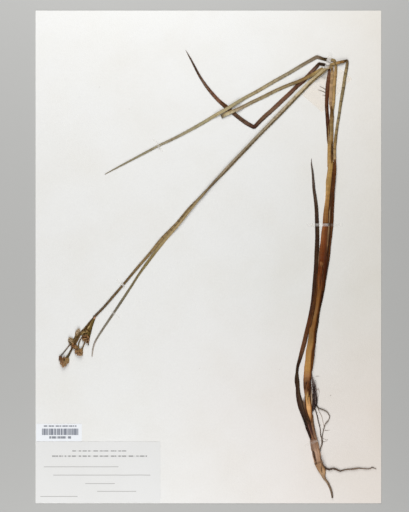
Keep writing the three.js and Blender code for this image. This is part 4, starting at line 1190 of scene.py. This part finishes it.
BRACT_BLADES = [
    (0.2, [[-96.2, -50.7, 1.5], [-99.4, -54.4, 1.9], [-103.0, -58.9, 1.9], [-106.0, -62.1, 1.8],
           [-108.8, -64.6, 1.0]]),
    (0.0, [[-96.4, -51.6, 1.5, 0.3], [-99.4, -55.6, 2.2, 0.3], [-102.6, -60.2, 2.5, 0.25],
           [-105.6, -63.6, 2.4, 0.2], [-107.6, -66.2, 1.0, 0.2]]),
    (0.6, [[-96.6, -52.2, 1.4, 0.5], [-98.9, -56.4, 2.1, 0.5], [-101.6, -61.4, 2.6, 0.45],
           [-104.0, -65.2, 2.2, 0.4], [-105.6, -68.2, 0.7, 0.3]]),
    (0.85, [[-96.6, -52.6, 1.4, 0.7], [-98.4, -57.2, 1.9, 0.7], [-100.4, -62.2, 2.3, 0.6],
            [-102.0, -66.0, 1.9, 0.5], [-103.0, -69.0, 0.6, 0.4]]),
    (1.0, [[-96.2, -52.2, 1.5, 0.4], [-97.8, -56.0, 1.9, 0.35], [-98.9, -60.0, 1.8, 0.3],
           [-100.0, -64.4, 1.8, 0.25], [-101.0, -68.6, 1.6, 0.2], [-101.6, -71.4, 1.5, 0.2],
           [-101.2, -74.6, 0.5, 0.1]]),
    (0.05, [[-110.4, -67.4, 0.6, 0.2], [-111.9, -69.4, 1.9, 0.3], [-113.1, -71.6, 1.8, 0.3],
            [-113.9, -73.6, 0.4, 0.3]]),
    (0.1, [[-109.2, -65.4, 0.8, 0.3], [-111.2, -67.2, 1.7, 0.3], [-113.4, -69.4, 1.7, 0.3],
           [-115.0, -70.0, 0.4, 0.3]]),
    (0.5, [[-108.6, -64.4, 0.8, 0.2], [-110.6, -65.8, 1.5, 0.2], [-112.8, -68.0, 1.3, 0.2],
           [-114.0, -69.4, 0.4, 0.2]]),
    (0.2, [[-111.4, -68.4, 0.6, 0.4], [-113.4, -70.4, 1.3, 0.4], [-115.2, -73.2, 1.1, 0.3],
           [-116.4, -75.2, 0.3, 0.2]]),
    (0.72, [[-100.3, -57.9, 0.3, 0.9], [-101.1, -59.3, 1.5, 0.95], [-102.1, -60.9, 0.3, 0.9]]),
    (0.55, [[-107.8, -64.9, 0.4, 0.6], [-106.4, -63.4, 1.1, 0.7], [-104.6, -62.2, 1.1, 0.75],
            [-102.6, -61.4, 0.4, 0.7]]),
    (0.65, [[-107.0, -65.8, 0.4, 0.65], [-105.6, -64.0, 1.0, 0.75], [-103.6, -63.0, 1.0, 0.8],
            [-101.5, -63.2, 0.4, 0.7]]),
    (0.08, [[-106.6, -66.6, 0.4, 0.65], [-105.0, -65.2, 0.7, 0.75], [-103.2, -64.4, 0.7, 0.8],
            [-101.4, -64.8, 0.3, 0.7]]),
    (0.6, [[-106.0, -67.4, 0.4, 0.6], [-104.6, -66.0, 0.9, 0.7], [-103.0, -65.6, 0.9, 0.75],
           [-101.5, -66.0, 0.3, 0.7]]),
]
bract = bmesh.new()
for number, (lot, route) in enumerate(BRACT_BLADES):
    lay_strand(bract, route, 0.45, 0.2, ribs=4, depth=0.5, step=0.6, wander=0.12, seed=number, lot=lot)
bract_tissue = tissue_finish(
    "bract_tissue",
    [(0.0, 86, 62, 18), (0.2, 132, 108, 74), (0.6, 162, 130, 80), (0.7, 214, 186, 128), (0.85, 112, 92, 40),
     (1.0, 110, 96, 42)],
    (66, 40, 6), [(0.0, 155), (0.3, 255), (0.75, 250), (1.0, 165)], veins=0.95, joints=0.9, seed=3.0, by="lot",
)
set_strands(bract, "bract_blades", bract_tissue, "bract_green", "flower_bract")
lay_piece(
    "bract_joint", [[-95.5, -50.3, 1.3, 0.3], [-96.1, -51.5, 1.7, 0.5], [-96.8, -52.8, 1.2, 0.5]], 0.9,
    [(0, 160, 118, 88), (1, 214, 166, 134), (2, 150, 120, 80)], (100, 70, 48), [(0.0, 215), (0.5, 255), (1.0, 235)],
    "bract_green", nodes=(),
)

# The stalks between the bract and the flower heads. They are thin, brown and ribbed, and each has its
# near colour, its far one and its route.

RAYS = [
    ((104, 78, 42), (88, 62, 30), [
        [-107.4, -64.2, 1.3], [-109.4, -67.6, 1.8], [-111.2, -70.8, 2.0], [-112.8, -73.6, 1.7],
    ]),
    ((80, 52, 22), (96, 80, 44), [
        [-112.8, -73.4, 1.7], [-114.4, -76.0, 1.5], [-116.2, -79.4, 1.5], [-118.2, -83.2, 1.9],
        [-120.0, -85.0, 1.2, 0.3],
    ]),
    ((128, 96, 58), (92, 84, 74), [
        [-115.4, -72.0, 0.9], [-117.6, -74.9, 0.8], [-120.2, -78.2, 0.8], [-122.6, -81.2, 0.9],
        [-124.8, -83.6, 0.8, 0.3],
    ]),
    ((108, 84, 46), (112, 98, 68), [
        [-105.4, -65.6, 0.9], [-107.4, -68.7, 0.9], [-108.9, -71.4, 1.1], [-109.6, -73.6, 1.2],
        [-109.6, -77.0, 1.4], [-109.8, -79.6, 1.2, 0.4],
    ]),
    ((140, 108, 66), (112, 88, 52), [
        [-103.4, -69.8, 1.0, 0.4], [-104.6, -73.0, 1.1], [-105.8, -75.6, 1.2], [-106.8, -78.4, 1.1, 0.3],
    ]),
]
for number, (near, far, route) in enumerate(RAYS):
    ray = bmesh.new()
    lay_strand(ray, route, 0.9, ROOT, around=14, ribs=2, depth=0.3, step=0.6, wander=0.1, seed=number)
    ray_tissue = tissue_finish(
        f"ray_tissue_{number + 1}", [(0.0, *near), (1.0, *far)], (48, 30, 10), veins=0.8, joints=0.3,
        seed=number * 1.9,
    )
    set_strands(ray, f"flower_stalk_{number + 1}", ray_tissue, "bract_green", f"flower_ray_{number + 1}")

# The flower heads. Each is a fan of small dry flowers on the end of its stalk, and each flower is a
# ring of pointed, keeled, papery scales round a seed capsule.

# at, the middle of the row of flowers; the way they point in degrees; how far they spread from
# that at the ends of the row; half the row's breadth; how many there are; then the length and the
# colour at its first end, middle and last end (0 dark brown, 0.5 orange, 0.75 olive, 1 pale); and
# the head's height.
HEADS = [
    ((-121.9, -83.7), 267, -16, 4.1, 54, (4.2, 11.0, 5.8), (0.14, 0.5, 0.78), 2.6),
    ((-109.6, -77.0), 279, -12, 3.0, 38, (5.4, 7.2, 7.2), (0.3, 0.5, 0.75), 2.3),
    ((-103.9, -65.4), 279, -4, 2.1, 28, (6.4, 6.4, 8.8), (0.5, 0.45, 0.15), 2.0),
    ((-108.9, -64.4), 150, 26, 1.7, 26, (3.0, 3.6, 3.0), (0.96, 1.0, 0.9), 1.6),
    ((-113.4, -70.9), 186, 16, 1.6, 24, (4.6, 5.4, 4.2), (0.92, 0.9, 0.6), 1.6),
    ((-112.7, -73.9), 258, 14, 1.5, 20, (3.2, 4.0, 4.2), (0.14, 0.1, 0.9), 1.6),
]
# Single flowers on top of the heads: the head's number, the place, the way they point, the length
# and the colour.
OPEN_FLOWERS = [
    (0, (-121.4, -85.4), 262, 2.3, -0.4), (0, (-122.4, -86.1), 350, 1.8, -0.4), (0, (-122.8, -85.4), 300, 2.2, 0.3),
    (1, (-108.4, -79.4), 270, 2.0, 0.1), (1, (-111.2, -76.6), 290, 2.0, 0.15),
    (2, (-106.3, -67.6), 340, 2.6, 0.14), (2, (-104.6, -67.8), 355, 2.6, 0.1), (2, (-103.4, -68.6), 320, 2.0, 0.12),
    (2, (-101.9, -67.6), 285, 2.2, 0.2), (2, (-102.2, -70.0), 280, 2.6, 0.3),
]
SCALES_TO_A_FLOWER = 6
SCALE_HALF_WIDTH = 0.15
SCALE_THICKNESS = 0.06
CAPSULE_HALF_WIDTH = 0.13
CAPSULE_HALF_LENGTH = 0.34
CAPSULE_MIDDLE = 0.42
FIRST_HEAD_SEED = 40

scale_finish, tree, shader = start_finish("flower_scales", Roughness=0.7, Specular_IOR_Level=0.25)
share = mark_of(tree, "share")
place = own_place(tree)
lot_tone = ramp(tree, mark_of(tree, "lot"), shades([
    (0.0, 62, 32, 10), (0.22, 126, 84, 46), (0.5, 178, 132, 84), (0.75, 144, 118, 70), (1.0, 196, 174, 144),
]))
patches = spread(tree, mottle(tree, place, 700.0, 2.0), 0.45, 0.7, 0.0, 0.6)
patched = tint(tree, patches, lot_tone, daylight(84, 46, 14))
tipped = tint(tree, spread(tree, share, 0.6, 1.0, 0.0, 0.35), patched, daylight(206, 178, 146))
rooted = tint(tree, spread(tree, share, 0.35, 0.0, 0.0, 0.5), tipped, daylight(60, 36, 14))
join_up(tree, shader, rooted, mottle(tree, place, 2600.0, 2.0), 0.00015)


def pointing(degrees, *rise):
    """A direction on the sheet, or one that also rises from it."""
    return Vector((math.cos(math.radians(degrees)), math.sin(math.radians(degrees)), *rise))


def add_flower(bm, marks, foot, axis, length, lot, chance):
    """One dry flower: a capsule in a ring of pointed scales, which part a little at their tips."""
    upright = axis.normalized().to_track_quat("Z", "Y").to_matrix()
    for vert in bmesh.ops.create_icosphere(bm, subdivisions=2, radius=1)["verts"]:
        vert[marks["share"]] = CAPSULE_MIDDLE + 0.12 * vert.co.z
        vert[marks["lot"]] = max(0.0, lot * 0.85)
        width = CAPSULE_HALF_WIDTH
        shaped = Vector((vert.co.x * width, vert.co.y * width, CAPSULE_MIDDLE + vert.co.z * CAPSULE_HALF_LENGTH))
        vert.co = (foot + upright @ (shaped * length)) * MM
    for k in range(SCALES_TO_A_FLOWER):
        turn = Matrix.Rotation(k * 2 * math.pi / SCALES_TO_A_FLOWER + chance.uniform(-0.2, 0.2), 3, "Z")
        size = length * chance.uniform(0.85, 1.05)
        splay = chance.uniform(0.02, 0.22)
        tone = min(1.0, max(0.0, lot + chance.uniform(-0.15, 0.15)))
        for vert in bmesh.ops.create_grid(bm, x_segments=2, y_segments=5, size=0.5)["verts"]:
            side, along = vert.co.x * 2, vert.co.y + 0.5
            pointed = max(0.05, math.sin(math.pi * min(1, along**0.7 * 0.96 + 0.04)) ** 0.8)
            width = SCALE_HALF_WIDTH * size * pointed
            belly = 0.04 + 0.14 * math.sin(math.pi * along * 0.8) + splay * along**2
            out = size * belly - abs(side) * width * 0.35
            vert[marks["share"]] = along
            vert[marks["lot"]] = tone
            vert.co = (foot + upright @ (turn @ Vector((side * width, out, along * size)))) * MM


def at_place(ends, place):
    """The value at a place in the row, -1 to 1, from those at its first end, middle and last end."""
    first, middle, last = ends
    return middle + (last - middle if place > 0 else middle - first) * place


for number, (at, lean, fan, breadth, count, lengths, lots, height) in enumerate(HEADS):
    chance = random.Random(number + FIRST_HEAD_SEED)
    head = bmesh.new()
    marks = {name: head.verts.layers.float.new(name) for name in ("share", "lot")}
    along = pointing(lean)
    for k in range(count):
        row_place = (k + 0.5) / count * 2 - 1
        reach, lot = at_place(lengths, row_place), at_place(lots, row_place)
        size = min(reach, chance.uniform(3.6, 5.4))
        heading = lean + fan * row_place + chance.uniform(-12, 12)
        foot = Vector(at) + along.orthogonal() * breadth * row_place + along * (reach - size) * chance.random()
        axis = pointing(heading, chance.choice((0.0, 0.04, 0.08, 0.14, 0.2)))
        lift = SHEET_TOP + 0.2 + height * 0.3 * chance.random()
        add_flower(head, marks, Vector((*foot, lift)), axis, size, lot + chance.uniform(-0.2, 0.2), chance)
    for owner, at, heading, size, lot in OPEN_FLOWERS:
        if owner == number:
            foot = Vector((*at, SHEET_TOP + height * 0.85))
            add_flower(head, marks, foot, pointing(heading, 0.15), size, lot, chance)
    bmesh.ops.recalc_face_normals(head, faces=head.faces)
    scales = [f for f in head.faces if len(f.verts) == 4]
    bmesh.ops.solidify(head, geom=scales, thickness=SCALE_THICKNESS * MM)
    lowest, highest = (SHEET_TOP + 0.03) * MM, (SHEET_TOP + 0.05 + height) * MM
    for vert in head.verts:
        vert.co.z = min(max(vert.co.z, lowest), highest)
    set_down(head, f"flower_head_scales_{number + 1}", scale_finish, "flower_scale", f"flower_head_{number + 1}")

# The straps. They are narrow strips of gummed, half-clear white paper, pasted to the sheet at both
# ends and pressed down over the plant. Each has its width and its route of [x, y, lift].

STRAP_THICKNESS = 0.14
STRAP_SEED = 7
STRAPS = {
    "strap_1": (1.9, [[-46.3, 99.7, 0.03], [-43.7, 96.0, 0.03], [-43.0, 95.0, 0.76], [-41.2, 92.4, 0.76],
                      [-40.5, 91.4, 0.03], [-38.8, 88.9, 0.03]]),
    "strap_2": (1.9, [[-77.4, -19.4, 0.03], [-74.2, -22.0, 0.03], [-73.3, -22.7, 0.88], [-71.3, -24.3, 0.88],
                      [-70.4, -25.0, 0.03], [-69.0, -26.1, 0.03]]),
    "strap_3": (1.9, [[-82.9, -45.1, 0.03], [-81.4, -46.3, 0.03], [-80.8, -46.8, 0.7], [-79.7, -47.7, 0.7],
                      [-79.0, -48.2, 0.03], [-75.3, -51.2, 0.03]]),
    "strap_4": (2.3, [[82.8, 27.0, 0.03], [88.2, 27.0, 0.03], [89.8, 27.0, 0.86], [93.3, 27.0, 0.86],
                      [96.2, 27.0, 1.66], [101.2, 27.0, 1.66], [105.4, 27.0, 0.64], [107.2, 27.0, 0.03],
                      [113.3, 27.0, 0.03]]),
    "strap_5": (3.7, [[103.5, 172.7, 0.03], [102.9, 170.6, 0.03], [102.2, 168.5, 0.86], [101.4, 165.6, 0.9],
                      [100.7, 163.3, 2.0], [100.3, 161.9, 2.55], [98.6, 156.1, 2.55], [98.1, 154.4, 1.9],
                      [97.4, 151.7, 0.15], [97.0, 150.2, 0.15]]),
    "strap_6": (1.9, [[81.2, -159.5, 0.03], [85.2, -157.7, 0.03], [87.2, -156.8, 2.15], [92.4, -154.5, 2.15],
                      [94.0, -153.8, 0.03], [94.9, -153.4, 0.03]]),
}


def strip(turn, *_):
    """One point of a thin strip's section, with its two edges just rounded."""
    across = max(-1.0, min(1.0, 1.25 * math.cos(turn)))
    return across, 0.5 + 0.5 * max(-1.0, min(1.0, 2.6 * math.sin(turn)))


def pasted_paper(name, mark, covers):
    """White paper gone clear with paste. covers says how well it covers, as (reading, cover).

    The readings are heights in thirds of a millimetre where mark is "height", or else the mark.
    """
    material = paper_finish(name, (244, 240, 234), (238, 232, 222), 0.7, 0.0003)
    tree = material.node_tree
    place = own_place(tree)
    # Uneven paste, which also paints patches of highlight where a strap crosses the stems.
    paste_and_highlight = spread(tree, mottle(tree, place, 420.0, 2.0), 0.4, 0.58, 0.35, 1.0)
    if mark == "height":
        reading = reckon(tree, "DIVIDE", axes_of(tree, place)["Z"], 3 * MM)
    else:
        reading = mark_of(tree, mark)
    cover = ramp(tree, reading, [(at, (share, share, share, 1)) for at, share in covers])
    covering = reckon(tree, "MULTIPLY", paste_and_highlight, cover)
    tree.links.new(covering, tree.nodes["Principled BSDF"].inputs["Alpha"])
    return material


strap_paper = pasted_paper("strap_paper", "height", [(0.2, 0.08), (0.34, 0.36)])
clear_strap_paper = pasted_paper("clear_strap_paper", "height", [(0.2, 0.04), (0.45, 0.14)])
thin_strap_paper = pasted_paper(
    "thin_strap_paper", "share",
    [(0.1, 0.07), (0.18, 0.28), (0.33, 0.28), (0.36, 0.08), (0.41, 0.08), (0.44, 0.34), (0.58, 0.3), (0.64, 0.05)],
)
faded_strap_paper = pasted_paper(
    "faded_strap_paper", "share",
    [(0.14, 0.04), (0.2, 0.5), (0.31, 0.5), (0.35, 0.1), (0.4, 0.1), (0.43, 0.5), (0.57, 0.45), (0.63, 0.02)],
)
PASTED = {"strap_4": thin_strap_paper, "strap_5": faded_strap_paper, "strap_6": clear_strap_paper}
for strap_name, (width, points) in STRAPS.items():
    strap = bmesh.new()
    route = [[x, y, width, lift] for x, y, lift in points]
    lay_strand(
        strap, route, STRAP_THICKNESS, 1, around=16, step=0.6, wander=0.05, seed=STRAP_SEED, section=strip
    )
    finish = PASTED.get(strap_name, strap_paper)
    set_strands(strap, f"{strap_name}_pasted", finish, "strap_paper", strap_name, smooth=False)

# The table that the sheet lies on, the lights of a copying stand on both sides of it, and the camera
# straight above.

FLOOR_HALF = 2.5
FLOOR_TONES = (daylight(186, 186, 184), daylight(190, 190, 188))
LAMP_SIZE = 0.6
LAMPS = {"upper_lamp": ((-0.1, 0.75, 0.5), 7.6), "lower_lamp": ((-0.1, -0.75, 0.45), 6.2)}
ROOM_LIGHT = 0.105
CAMERA_PLACE = (-0.0033, 0.0008, 1.2014)
CAMERA_LENS = 100
CAMERA_FILM = 36

floor_finish, tree, shader = start_finish("floor_matt", Roughness=0.9)
join_up(tree, shader, tint(tree, mottle(tree, own_place(tree), 6.0, 2.0), *FLOOR_TONES))
table_top = bmesh.new()
bmesh.ops.create_grid(table_top, x_segments=1, y_segments=1, size=FLOOR_HALF)
floor = link_mesh(table_top, "floor", floor_finish, smooth=False)

for name, (place, power) in LAMPS.items():
    lamp = bpy.data.lights.new(name, "AREA")
    lamp.size = LAMP_SIZE
    lamp.energy = power
    light = bpy.data.objects.new(name, lamp)
    light.location = place
    light.rotation_euler = (-Vector(place)).to_track_quat("-Z", "Y").to_euler()
    bpy.context.scene.collection.objects.link(light)
room = bpy.data.worlds.new("studio")
room.use_nodes = True
background = room.node_tree.nodes["Background"].inputs
background["Color"].default_value = (1, 1, 1, 1)
background["Strength"].default_value = ROOM_LIGHT
bpy.context.scene.world = room
bpy.context.scene.view_settings.view_transform = "Standard"

camera_data = bpy.data.cameras.new("copy_stand")
camera_data.lens = CAMERA_LENS
camera_data.sensor_width = CAMERA_FILM
camera = bpy.data.objects.new("copy_stand", camera_data)
camera.location = CAMERA_PLACE
bpy.context.scene.collection.objects.link(camera)
bpy.context.scene.camera = camera
